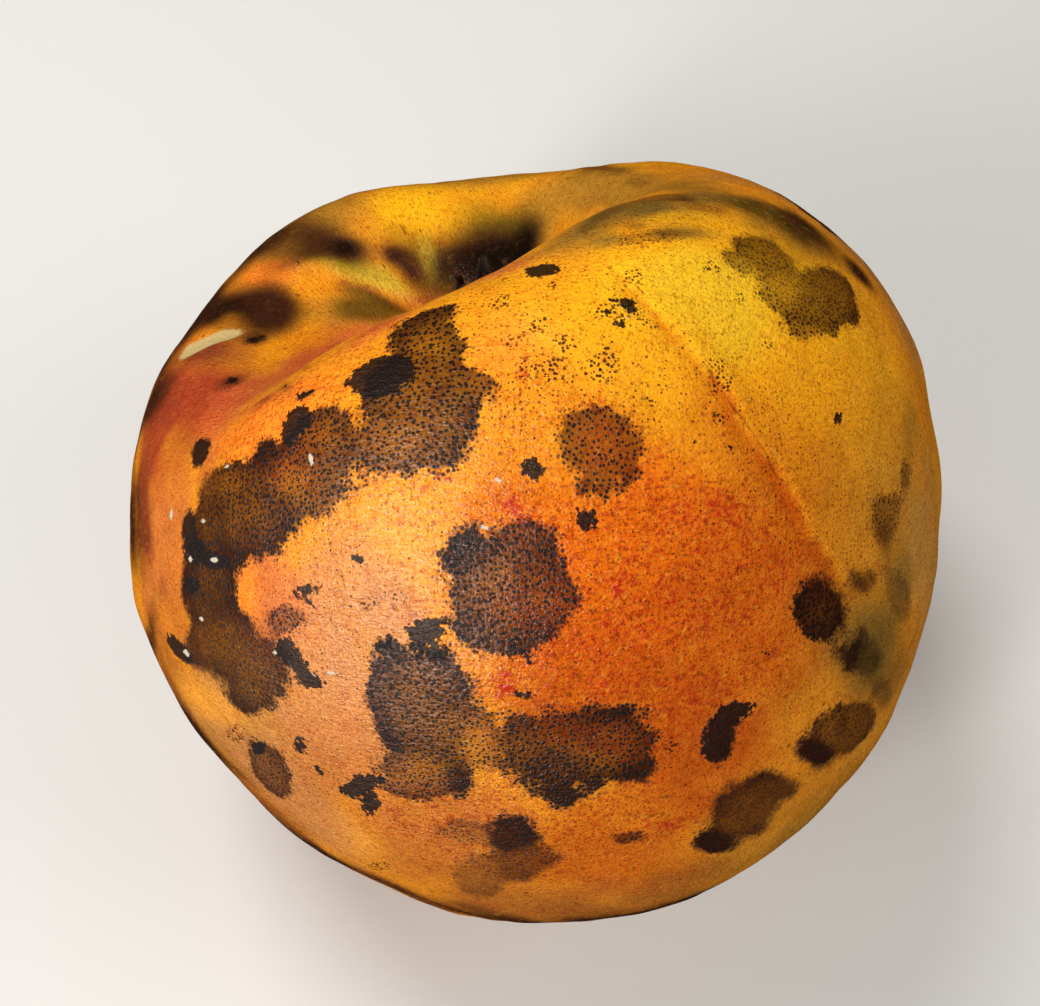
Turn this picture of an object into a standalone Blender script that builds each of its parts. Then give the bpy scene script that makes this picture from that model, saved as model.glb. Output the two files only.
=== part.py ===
"""An heirloom apple that lies on its lower cheek, its blossom end up and leaning back.

Three solids: the lopsided fruit with its blossom basin and stalk cavity, the dried calyx that sits
in a socket in the basin, and the short woody stalk that sits in a hole in the cavity.
"""

from math import atan2, cos, hypot, radians, sqrt

import bmesh
import bpy
from mathutils import Matrix, Vector

MM = 0.001

# The fruit's turned form, with its axis upright and its middle at the origin
CHEEK_RADIUS = 38.75 * MM
CHEEK_HEIGHT = 0.7 * MM
RIM_RADIUS = 21.8 * MM
RIM_HEIGHT = 27.75 * MM
BASIN_FLOOR = 17.6 * MM
BASE_DEPTH = 32.3 * MM
CAVITY_ROOF = 18.1 * MM

# Waves round the fruit: how many crests, how high, and the azimuth of one crest
CHEEK_WAVES = ((1, 0.034, 25), (2, 0.013, 62), (3, 0.027, 46))
CROWN_WAVES = ((1, 1.9 * MM, -99), (2, 2.95 * MM, -59), (3, 0.5 * MM, 9), (5, 0.35 * MM, -30))
BASIN_FOLDS = ((5, 0.5 * MM, 20), (8, 0.3 * MM, 75))
BASIN_OFFSET = Vector((3.9, 4.2, 0.0)) * MM
EYE_RADIUS = 2.0 * MM
FOLDS_START = 7.0 * MM

# How it lies: it leans away from the front, tips to the left, and rests on a flattened spot
LEAN = radians(34)
TIP = radians(20.5)
SPOT_DEPTH = 1.3 * MM

# The calyx and the stalk, each with a clearance to the fruit round it
CLEARANCE = 0.3 * MM
CALYX_RADIUS = 3.3 * MM
CALYX_BASE = 1.5 * MM
CALYX_SINK = 0.9 * MM
SEPAL_COUNT = 5
SEPAL_THICKNESS = 1.0 * MM
SEPAL_STEPS = (
    # rise, move outwards, width and thickness as shares of the step before
    (1.6 * MM, 0.35 * MM, 1.15, 0.90),
    (1.6 * MM, -0.15 * MM, 0.95, 0.90),
    (1.3 * MM, -0.55 * MM, 0.80, 0.85),
    (0.9 * MM, 0.20 * MM, 0.50, 0.80),
)
STALK_RADIUS = 1.15 * MM
STALK_LENGTH = 14.0 * MM
STALK_SUNK = 4.0 * MM
STALK_BEND = 1.2 * MM
STALK_KNOB = 1.45

# How finely the fruit is divided
ROUND_STEPS = 80
OUTLINE_STEP = 3.4 * MM
HOLE_STEPS = 24


def clear_scene():
    for obj in list(bpy.data.objects):
        bpy.data.objects.remove(obj)


def new_collection(name):
    collection = bpy.data.collections.new(name)
    bpy.context.scene.collection.children.link(collection)
    return collection


def principled(name, colour, roughness, metallic=0.0):
    material = bpy.data.materials.new(name)
    material.use_nodes = True
    shader = material.node_tree.nodes["Principled BSDF"]
    shader.inputs["Base Color"].default_value = (*colour, 1.0)
    shader.inputs["Roughness"].default_value = roughness
    shader.inputs["Metallic"].default_value = metallic
    return material


def skin_material():
    """Waxy golden-orange skin."""
    return principled("skin", (0.80, 0.33, 0.045), 0.42)


def calyx_material():
    """Dry, nearly black sepals."""
    return principled("calyx", (0.055, 0.032, 0.018), 0.85)


def stalk_material():
    """Brown wood of the stalk."""
    return principled("stalk", (0.17, 0.09, 0.04), 0.75)


def ease(low, high, value):
    """0 below low, 1 above high, and a smooth step between."""
    share = min(max((value - low) / (high - low), 0.0), 1.0)
    return share * share * (3 - 2 * share)


def waves(kinds, azimuth):
    return sum(height * cos(count * (azimuth - radians(crest))) for count, height, crest in kinds)


def fruit_outline():
    """Radius and height of the fruit's outline, from the basin's floor down to the cavity's roof."""
    basin = RIM_HEIGHT - BASIN_FLOOR
    shoulder = CHEEK_RADIUS - RIM_RADIUS
    return [
        Vector((0.0, BASIN_FLOOR)),
        Vector((0.14 * RIM_RADIUS, BASIN_FLOOR)),
        Vector((0.30 * RIM_RADIUS, BASIN_FLOOR + 0.10 * basin)),
        Vector((0.52 * RIM_RADIUS, BASIN_FLOOR + 0.47 * basin)),
        Vector((0.75 * RIM_RADIUS, BASIN_FLOOR + 0.84 * basin)),
        Vector((RIM_RADIUS, RIM_HEIGHT)),
        Vector((RIM_RADIUS + 0.43 * shoulder, 0.89 * RIM_HEIGHT)),
        Vector((0.895 * CHEEK_RADIUS, 0.62 * RIM_HEIGHT)),
        Vector((0.985 * CHEEK_RADIUS, CHEEK_HEIGHT + 0.20 * CHEEK_RADIUS)),
        Vector((CHEEK_RADIUS, CHEEK_HEIGHT - 0.07 * CHEEK_RADIUS)),
        Vector((0.935 * CHEEK_RADIUS, 0.5 * CHEEK_HEIGHT - 0.44 * BASE_DEPTH)),
        Vector((0.79 * CHEEK_RADIUS, -0.735 * BASE_DEPTH)),
        Vector((0.592 * CHEEK_RADIUS, -0.926 * BASE_DEPTH)),
        Vector((0.365 * CHEEK_RADIUS, -BASE_DEPTH)),
        Vector((0.23 * CHEEK_RADIUS, -0.91 * BASE_DEPTH)),
        Vector((0.145 * CHEEK_RADIUS, -0.765 * BASE_DEPTH)),
        Vector((0.085 * CHEEK_RADIUS, -0.62 * BASE_DEPTH)),
        Vector((0.0, -CAVITY_ROOF)),
    ]


def span_point(before, start, end, after, share):
    """A point on the smooth curve from start to end, which also heeds the points beside them."""
    knots = [0.0]
    for one, two in ((before, start), (start, end), (end, after)):
        knots.append(knots[-1] + sqrt((two - one).length))
    at = knots[1] + share * (knots[2] - knots[1])

    def between(one, two, first, last):
        return ((last - at) * one + (at - first) * two) / (last - first)

    low = between(before, start, knots[0], knots[1])
    middle = between(start, end, knots[1], knots[2])
    high = between(end, after, knots[2], knots[3])
    low = between(low, middle, knots[0], knots[2])
    high = between(middle, high, knots[1], knots[3])
    return between(low, high, knots[1], knots[2])


def smooth_outline(points, step):
    """The outline as a smooth curve, divided about every step, mirrored over the axis at its ends."""
    first = Vector((-points[1].x, points[1].y))
    last = Vector((-points[-2].x, points[-2].y))
    known = [first, *points, last]
    found = []
    for i in range(1, len(known) - 2):
        count = max(1, round((known[i + 1] - known[i]).length / step))
        found += [span_point(*known[i - 1 : i + 3], n / count) for n in range(count)]
    return [*found, points[-1]]


def turned_mesh(name, outline, steps, merge):
    """The closed mesh that an outline of radius and height makes when it is turned round the axis."""
    profile = bpy.data.meshes.new(name)
    corners = [(point.x, 0.0, point.y) for point in outline]
    profile.from_pydata(corners, [(i, i + 1) for i in range(len(corners) - 1)], [])
    holder = bpy.data.objects.new(name, profile)
    bpy.context.scene.collection.objects.link(holder)
    screw = holder.modifiers.new("turn", "SCREW")
    screw.axis = "Z"
    screw.steps = steps
    screw.render_steps = steps
    screw.use_merge_vertices = True
    screw.merge_threshold = merge
    bpy.context.view_layer.update()
    graph = bpy.context.evaluated_depsgraph_get()
    mesh = bpy.data.meshes.new_from_object(holder.evaluated_get(graph))
    bpy.data.objects.remove(holder)
    return mesh


def grown(point):
    """Where a point of the turned form lies on the real, lopsided fruit."""
    azimuth = atan2(point.y, point.x)
    radius = hypot(point.x, point.y)
    cheeks = 1.0 + waves(CHEEK_WAVES, azimuth)
    crown = ease(-0.25 * CHEEK_RADIUS, 0.8 * CHEEK_RADIUS, point.z)
    crown *= ease(0.27 * RIM_RADIUS, 0.9 * RIM_RADIUS, radius)
    moved = Vector((point.x * cheeks, point.y * cheeks, point.z + crown * waves(CROWN_WAVES, azimuth)))
    if point.z > 0.0:
        folds = ease(CALYX_RADIUS, FOLDS_START, radius) * (1.0 - ease(0.5 * RIM_RADIUS, RIM_RADIUS, radius))
        moved += BASIN_OFFSET * (1.0 - ease(EYE_RADIUS, 1.15 * RIM_RADIUS, radius))
        moved.z += folds * waves(BASIN_FOLDS, azimuth)
    return moved


def make_fruit():
    mesh = turned_mesh("fruit", smooth_outline(fruit_outline(), OUTLINE_STEP), ROUND_STEPS, 0.01 * MM)
    for vertex in mesh.vertices:
        vertex.co = grown(vertex.co)
    mesh.shade_smooth()
    mesh.materials.append(skin_material())
    return bpy.data.objects.new("fruit", mesh)


def calyx_place():
    """The middle of the calyx's underside, on the fruit's upright form."""
    return BASIN_OFFSET + Vector((0.0, 0.0, BASIN_FLOOR - CALYX_SINK))


def make_calyx():
    """A low ring with five sepals drawn up out of it, which close over the eye."""
    shape = bmesh.new()
    bmesh.ops.create_cone(
        shape,
        cap_ends=True,
        segments=2 * SEPAL_COUNT,
        radius1=CALYX_RADIUS,
        radius2=CALYX_RADIUS,
        depth=CALYX_BASE,
        matrix=Matrix.Translation((0.0, 0.0, CALYX_BASE / 2)),
    )
    top = [face for face in shape.faces if face.normal.z > 0.9]
    ring = bmesh.ops.inset_region(shape, faces=top, thickness=SEPAL_THICKNESS, use_even_offset=True)["faces"]
    ring.sort(key=lambda face: atan2(face.calc_center_median().y, face.calc_center_median().x))
    for face in ring[::2]:
        draw_sepal(shape, face)
    bmesh.ops.recalc_face_normals(shape, faces=shape.faces)
    mesh = bpy.data.meshes.new("calyx")
    shape.to_mesh(mesh)
    shape.free()
    mesh.materials.append(calyx_material())
    calyx = bpy.data.objects.new("calyx", mesh)
    calyx.location = calyx_place()
    return calyx


def draw_sepal(shape, face):
    """Extrudes one face of the ring upwards, step by step, into a tapering sepal."""
    middle = face.calc_center_median()
    outwards = Vector((middle.x, middle.y, 0.0)).normalized()
    across = Vector((-outwards.y, outwards.x, 0.0))
    for rise, out, width, thickness in SEPAL_STEPS:
        grown_face = bmesh.ops.extrude_discrete_faces(shape, faces=[face])["faces"][0]
        centre = grown_face.calc_center_median()
        for vertex in grown_face.verts:
            offset = vertex.co - centre
            wide = across * offset.dot(across) * width
            thick = outwards * offset.dot(outwards) * thickness
            vertex.co = centre + wide + thick + outwards * out + Vector((0.0, 0.0, rise))
        face = grown_face


def make_stalk():
    """A short stalk, a little bent and thicker at its broken end, hanging in its cavity."""
    line = bpy.data.curves.new("stalk", "CURVE")
    line.dimensions = "3D"
    line.bevel_depth = STALK_RADIUS
    line.bevel_resolution = 2
    line.use_fill_caps = True
    spline = line.splines.new("POLY")
    count = 7
    spline.points.add(count - 1)
    for i, point in enumerate(spline.points):
        share = i / (count - 1)
        bend = STALK_BEND * share * share
        point.co = (bend, 0.0, -STALK_LENGTH * share, 1.0)
        point.radius = 1.0 + (STALK_KNOB - 1.0) * ease(0.6, 1.0, share)
    line.materials.append(stalk_material())
    stalk = bpy.data.objects.new("stalk", line)
    stalk.location = (0.0, 0.0, STALK_SUNK - CAVITY_ROOF)
    return stalk


def make_cutter(name, radius, low, high, centre):
    """An upright round cutter between two heights."""
    shape = bmesh.new()
    bmesh.ops.create_cone(
        shape,
        cap_ends=True,
        segments=HOLE_STEPS,
        radius1=radius,
        radius2=radius,
        depth=high - low,
    )
    mesh = bpy.data.meshes.new(name)
    shape.to_mesh(mesh)
    shape.free()
    cutter = bpy.data.objects.new(name, mesh)
    cutter.location = (centre.x, centre.y, (low + high) / 2)
    return cutter


def make_socket_cutter():
    """The socket that the calyx sits in."""
    low = BASIN_FLOOR - CALYX_SINK - CLEARANCE
    return make_cutter("calyx_socket", CALYX_RADIUS + CLEARANCE, low, RIM_HEIGHT, BASIN_OFFSET)


def make_stalk_cutter():
    """The hole that the stalk grows out of."""
    high = STALK_SUNK - CAVITY_ROOF + CLEARANCE
    return make_cutter("stalk_hole", STALK_RADIUS + CLEARANCE, -BASE_DEPTH, high, Vector())


def make_floor_cutter():
    """A block whose top is the surface that the fruit rests on."""
    size = 3 * CHEEK_RADIUS
    shape = bmesh.new()
    bmesh.ops.create_cube(shape, size=size, matrix=Matrix.Translation((0.0, 0.0, -size / 2)))
    mesh = bpy.data.meshes.new("rest_floor")
    shape.to_mesh(mesh)
    shape.free()
    return bpy.data.objects.new("rest_floor", mesh)


def cut(target, cutter, collection):
    collection.objects.link(cutter)
    cutter.hide_render = True
    cutter.display_type = "WIRE"
    boolean = target.modifiers.new(cutter.name, "BOOLEAN")
    boolean.operation = "DIFFERENCE"
    boolean.solver = "EXACT"
    boolean.object = cutter


def make_pose(collection):
    """The empty that leans the whole apple back and tips it to the left."""
    pose = bpy.data.objects.new("lie", None)
    pose.rotation_mode = "YXZ"
    pose.rotation_euler = (-LEAN, -TIP, 0.0)
    collection.objects.link(pose)
    return pose


def lay_down(pose, fruit):
    """Moves the apple so that its flat spot is on the ground and its box is centred on the origin."""
    bpy.context.view_layer.update()
    corners = [fruit.matrix_world @ vertex.co for vertex in fruit.data.vertices]
    across = [corner.x for corner in corners]
    along = [corner.y for corner in corners]
    lowest = min(corner.z for corner in corners)
    middle = Vector(((min(across) + max(across)) / 2, (min(along) + max(along)) / 2, lowest + SPOT_DEPTH))
    pose.location = -middle
    bpy.context.view_layer.update()


def main():
    clear_scene()
    apple = new_collection("heirloom_apple")
    cutters = new_collection("cutters")
    pose = make_pose(apple)
    fruit = make_fruit()
    for piece in (fruit, make_calyx(), make_stalk()):
        apple.objects.link(piece)
        piece.parent = pose
    lay_down(pose, fruit)
    for cutter in (make_socket_cutter(), make_stalk_cutter()):
        cutter.parent = pose
        cut(fruit, cutter, cutters)
    cut(fruit, make_floor_cutter(), cutters)


if __name__ == "__main__":
    main()
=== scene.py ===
"""The looks of a lopsided heirloom apple: its waxy, blotched skin, its dry calyx and its stalk."""

from collections import namedtuple
from math import atan2, cos, pi, radians, sin

import bmesh
import bpy
import numpy as np
from bpy.props import FloatProperty, FloatVectorProperty, IntProperty, PointerProperty
from mathutils import Matrix, Vector
from mathutils.bvhtree import BVHTree


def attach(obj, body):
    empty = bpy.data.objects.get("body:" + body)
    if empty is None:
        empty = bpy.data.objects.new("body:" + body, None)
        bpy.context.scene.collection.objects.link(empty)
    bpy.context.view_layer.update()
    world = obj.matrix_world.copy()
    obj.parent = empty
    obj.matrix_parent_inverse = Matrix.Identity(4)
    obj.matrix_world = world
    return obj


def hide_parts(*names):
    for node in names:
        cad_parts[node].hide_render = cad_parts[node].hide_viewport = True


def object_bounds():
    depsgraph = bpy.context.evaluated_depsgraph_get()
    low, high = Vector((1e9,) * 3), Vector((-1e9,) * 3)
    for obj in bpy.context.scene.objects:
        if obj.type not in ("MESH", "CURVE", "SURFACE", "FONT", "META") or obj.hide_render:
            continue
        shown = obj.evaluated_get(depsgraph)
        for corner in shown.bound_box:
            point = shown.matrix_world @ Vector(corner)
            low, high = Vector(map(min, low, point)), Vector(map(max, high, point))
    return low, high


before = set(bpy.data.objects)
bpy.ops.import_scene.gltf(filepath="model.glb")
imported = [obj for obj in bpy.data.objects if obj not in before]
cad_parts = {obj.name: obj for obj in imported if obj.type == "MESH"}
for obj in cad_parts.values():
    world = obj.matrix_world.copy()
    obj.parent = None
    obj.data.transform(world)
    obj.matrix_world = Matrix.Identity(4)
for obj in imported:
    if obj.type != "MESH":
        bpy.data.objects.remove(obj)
CAD_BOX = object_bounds()

bl_info = {
    "name": "Heirloom Apple",
    "version": (1, 0, 0),
    "blender": (4, 5, 0),
    "location": "3D View > Sidebar > Apple",
    "description": "Models a lopsided heirloom apple with sooty blotches, a dry calyx and a stalk",
    "category": "Add Mesh",
}

MM = 0.001

# The photograph's frame and the fruit's middle in it, in pixels
PHOTO_WIDE = 1040
PHOTO_HIGH = 1006
FRUIT_X = 536
FRUIT_Y = 540
# The width of the picture in the camera, in millimetres
SENSOR_WIDTH = 36.0

# Waves round the fruit: how many crests, how high, and the azimuth of one crest in degrees
CHEEK_WAVES = ((1, 0.034, 25), (2, 0.013, 62), (3, 0.027, 46))
CROWN_WAVES = ((1, 1.9 * MM, -99), (2, 2.95 * MM, -59), (3, 0.5 * MM, 9), (5, 0.35 * MM, -30))
BASIN_FOLDS = ((5, 0.5 * MM, 20), (8, 0.3 * MM, 75), (13, 0.16 * MM, 40))
BASIN_OFFSET = Vector((3.9, 4.2, 0.0)) * MM
EYE_RADIUS = 2.0 * MM
FOLDS_START = 7.0 * MM
# Faces round the rougher fruit that is only measured
MEASURE_STEPS = 72

# The calyx in its socket
CALYX_RADIUS = 3.3 * MM
CALYX_BASE = 1.5 * MM
CALYX_SINK = 0.9 * MM
SOCKET_RADIUS = 3.6 * MM
SEPAL_COUNT = 5
SEPAL_THICKNESS = 0.22 * MM
THREAD_COUNT = 14
THREAD_PARTS = 6
THREAD_CIRCLE = 1.5 * MM
THREAD_FOOT = 0.9 * MM
THREAD_RADIUS = 0.14 * MM
THREAD_TIP_RADIUS = 0.24 * MM
DISH_EDGE = 0.9 * MM
DISH_DEPTH = 0.7 * MM

# A sepal from its foot to its tip: distance from the calyx's axis, height and half width, in millimetres
SEPAL_SHARES = (0.0, 0.2, 0.45, 0.7, 0.88, 1.0)
SEPAL_RADII = (2.7, 3.05, 3.05, 2.6, 2.3, 2.5)
SEPAL_HEIGHTS = (0.9, 2.3, 4.0, 5.5, 6.4, 6.7)
SEPAL_WIDTHS = (0.95, 1.15, 1.05, 0.75, 0.45, 0.12)

# The stalk in its hole
STALK_RADIUS = 1.15 * MM
STALK_LENGTH = 14.0 * MM
STALK_SUNK = 4.0 * MM
STALK_BEND = 1.2 * MM
STALK_KNOB = 1.45
STALK_PARTS = 26
STALK_RIDGE = 0.05 * MM
HOLE_RADIUS = 1.45 * MM

# The map that the skin's flat patterns use: its scale, and the cosine at which its two caps end
MAP_RADIUS = 37 * MM
CAP_EDGE = 0.26

# How far apart the skin's small patterns lie
SOOT_DOT_SPACING = 0.39 * MM
FRECKLE_SPACING = 0.46 * MM
CLUSTER_SPACING = 0.30 * MM
MOTTLE_SPACING = 0.50 * MM
SPOT_SPACING = 0.40 * MM
LARGE_SPOT_SPACING = 1.5 * MM

# How many times longer than it looks a mark may reach on skin seen aslant
LONGEST_REACH = 2.2
# How softly marks join, in millimetres
MARK_BLEND = 0.6
# A mark smaller than this, in pixels, is moved to the mesh's nearest corner, so that its middle shows
SMALL_MARK = 8
# How thick soot lies on the far side, from 0 to 1
FAR_THICKNESS = 0.65

# The floor: how far it reaches from its middle, and how far it lies below the fruit
FLOOR_REACH = 1.5
FLOOR_GAP = 0.05 * MM

# A light: its name, the way to it, its distance, width and height, its power, its colour, and whether
# the skin mirrors it
Light = namedtuple("Light", "name towards distance wide high power tint mirrored")
LIGHTS = (
    Light("key", (-0.32, 0.38, 0.87), 0.50, 0.22, 0.22, 1.8, (1.0, 0.985, 0.96), False),
    Light("side", (0.75, -0.10, 0.65), 0.50, 0.30, 0.30, 0.80, (1.0, 0.97, 0.90), False),
    Light("window", (-0.58, -0.62, 0.52), 0.42, 0.07, 0.24, 0.95, (1.0, 0.98, 0.94), True),
    Light("sky", (-0.64, -0.60, 0.46), 0.50, 0.42, 0.56, 0.90, (0.97, 0.98, 1.0), True),
)

# A mark on the skin: its middle, half width and half height in photograph pixels, its turn in degrees
# anticlockwise, and how strong or thick it is, from 0 to 1
Mark = namedtuple("Mark", "x y wide high turn strength", defaults=(0, 1.0))
# A mark on the side that the photograph doesn't show: azimuth in degrees, and height and radius in
# millimetres, on the upright fruit
FarMark = namedtuple("FarMark", "azimuth height radius")


def marks(*rows):
    return [Mark(*row) for row in rows]


# Sooty blotches
SHOULDER_SOOT = marks(
    (418, 396, 56, 48, 5, 0.68), (398, 442, 54, 32, 0, 0.64), (428, 346, 34, 30, 20, 0.65),
    (428, 320, 32, 10, 25, 0.8), (474, 384, 22, 10, -10, 0.55), (444, 428, 20, 30, 0, 0.7),
    (322, 436, 32, 28, 10, 0.65), (312, 468, 34, 36, 0, 0.72), (268, 466, 12, 22, 0, 0.9),
    (312, 506, 24, 10, 0, 0.6),
)
LEFT_SOOT = marks(
    (246, 516, 42, 42, 0, 0.78), (226, 484, 32, 20, 10, 0.72), (292, 478, 44, 26, 0, 0.55),
    (206, 585, 26, 50, 0, 0.85), (204, 522, 13, 34, 0, 0.8), (222, 560, 24, 16, 0, 0.95),
    (215, 645, 38, 34, 0, 0.78), (255, 668, 32, 28, 0, 0.7), (250, 692, 30, 24, -30, 0.75),
    (281, 622, 18, 10, 0, 0.4), (268, 773, 20, 34, 35, 0.6),
)
CENTRE_SOOT = marks(
    (509, 594, 58, 56, 0, 0.68), (464, 543, 18, 16, 20), (470, 562, 24, 20, 0, 0.85),
    (540, 604, 36, 26, 0, 0.55), (502, 636, 46, 18, 0, 0.78), (522, 536, 26, 13, 0, 0.6),
    (602, 446, 44, 40, 0, 0.5), (604, 484, 14, 14, 0, 0.5),
)
LOWER_SOOT = marks(
    (414, 698, 52, 46, 0, 0.74), (430, 728, 50, 42, 0, 0.72), (384, 650, 14, 12, 0, 0.95),
    (418, 778, 44, 26, 0, 0.5), (394, 746, 13, 10), (456, 780, 14, 22, 30, 0.98),
    (476, 745, 22, 30, 0, 0.3), (522, 748, 24, 34, 0, 0.7), (604, 748, 52, 34, 0, 0.62),
    (558, 738, 34, 26, 0, 0.6), (616, 718, 24, 10, 12, 0.95), (598, 728, 10, 9),
    (560, 772, 34, 26, 0, 0.85), (560, 796, 26, 17), (590, 784, 22, 11, 10), (636, 774, 16, 9, 8, 0.9),
    (510, 838, 24, 18, 0, 0.88), (524, 866, 40, 16, 15, 0.6), (478, 882, 26, 22, 0, 0.4),
    (462, 836, 24, 9, 0, 0.25), (628, 842, 14, 6, 0, 0.55),
)
RIGHT_SOOT = marks(
    (821, 612, 27, 33, 0, 0.86), (818, 752, 17, 17), (848, 731, 34, 22, 28, 0.66),
    (775, 794, 28, 14, 12, 0.8), (748, 816, 38, 26, 30, 0.74), (717, 845, 22, 12, 0, 0.95),
    (852, 655, 10, 17, -20, 0.85), (872, 662, 12, 15, 0, 0.55), (888, 520, 14, 26, 0, 0.35),
    (862, 580, 12, 12, 0, 0.55), (906, 474, 7, 24, 0, 0.36), (902, 598, 12, 28, 12, 0.36),
    (884, 694, 14, 14, 0, 0.4),
)
TOP_SOOT = marks(
    (772, 256, 34, 17, -25, 0.62), (824, 296, 34, 32, 0, 0.68), (790, 290, 32, 22, -25, 0.42),
    (740, 262, 14, 8, -20, 0.4), (850, 306, 12, 20, 20, 0.75), (812, 330, 20, 7, 0, 0.45),
    (606, 212, 26, 10, 26, 0.34), (662, 197, 32, 8, 4, 0.34), (712, 208, 22, 7, -14, 0.3),
    (644, 238, 24, 6, 6, 0.28),
)
SOOTY_MARKS = SHOULDER_SOOT + LEFT_SOOT + CENTRE_SOOT + LOWER_SOOT + RIGHT_SOOT + TOP_SOOT

# Black dead spots
SCAB_MARKS = marks(
    (384, 373, 31, 17, 15), (374, 382, 22, 13), (541, 268, 17, 6, 8), (532, 470, 12, 10, -30),
    (588, 519, 11, 9, -20), (629, 305, 9, 5, -30), (603, 311, 3, 2), (618, 325, 3, 3),
    (524, 698, 10, 5), (524, 663, 4, 4), (199, 451, 10, 14, -20), (299, 418, 10, 12, -20),
    (289, 434, 8, 10, -20), (188, 528, 8, 18), (196, 551, 12, 8), (215, 563, 16, 7, -10),
    (192, 586, 8, 8), (178, 650, 8, 18, 40), (426, 631, 16, 10, 10), (437, 654, 9, 9),
    (416, 650, 4, 10), (286, 652, 11, 13, 25), (300, 670, 6, 12, 40), (313, 685, 11, 5),
    (307, 591, 9, 7), (298, 747, 6, 8), (318, 775, 4, 7, 20), (258, 750, 8, 7), (311, 611, 7, 4),
    (356, 556, 6, 3), (348, 611, 7, 3), (378, 646, 8, 7), (361, 788, 9, 9), (376, 783, 9, 4, 10),
    (370, 808, 8, 9), (344, 792, 6, 4), (718, 749, 15, 20, -10), (738, 713, 15, 8, 25),
    (726, 726, 9, 9), (612, 303, 5, 3), (729, 453, 5, 6), (840, 415, 4, 4), (845, 590, 5, 5),
    (232, 381, 6, 4, 20), (284, 387, 5, 4), (263, 400, 6, 3, 20), (305, 366, 5, 3, 20),
    (307, 395, 6, 3, 20), (256, 337, 7, 3),
)

# Clusters of small black specks
CLUSTER_MARKS = marks(
    (554, 372, 11, 9, -20), (602, 370, 15, 10, 10), (606, 356, 6, 12, -10), (566, 344, 10, 9),
    (508, 343, 8, 8), (543, 322, 7, 6), (632, 308, 11, 8, -20), (618, 300, 6, 5, -40), (650, 327, 5, 5),
    (601, 311, 9, 5), (634, 276, 8, 8), (712, 268, 10, 6), (720, 420, 6, 9, 30), (722, 384, 12, 8, 20),
    (716, 363, 12, 4), (738, 294, 5, 5), (768, 343, 5, 4), (524, 372, 9, 7), (500, 302, 12, 6, 20),
    (555, 282, 5, 5), (729, 453, 6, 7), (692, 446, 7, 6), (650, 404, 7, 6), (766, 655, 8, 6),
    (672, 748, 5, 7), (398, 598, 9, 7), (370, 603, 7, 6), (355, 556, 8, 4), (280, 622, 14, 7),
    (378, 868, 14, 6), (236, 735, 12, 8),
)

RED_MARKS = marks(
    (718, 506, 17, 14, -20), (616, 588, 15, 12), (505, 686, 14, 16), (688, 694, 9, 7), (670, 606, 9, 7),
    (523, 376, 7, 6), (510, 502, 16, 20), (600, 406, 14, 8), (445, 478, 8, 6), (668, 828, 20, 7, 12),
)

SCAR_MARKS = marks(
    (214, 336, 30, 5, 24), (190, 347, 14, 6, 35),
)

# White flecks, partly painted glints
FLECK_AND_GLINT_MARKS = marks(
    (498, 481, 4, 5), (484, 529, 5, 3), (315, 573, 5, 3, -20), (307, 457, 4, 3, 20), (228, 467, 3, 2),
    (168, 512, 3, 3), (203, 521, 3, 2), (214, 561, 4, 3, -30), (191, 558, 3, 2), (202, 620, 3, 3),
    (185, 654, 3, 4, 30), (333, 677, 4, 3), (312, 679, 3, 2), (275, 652, 3, 2), (468, 785, 4, 4),
    (628, 318, 3, 2), (810, 302, 2, 2),
)
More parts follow.
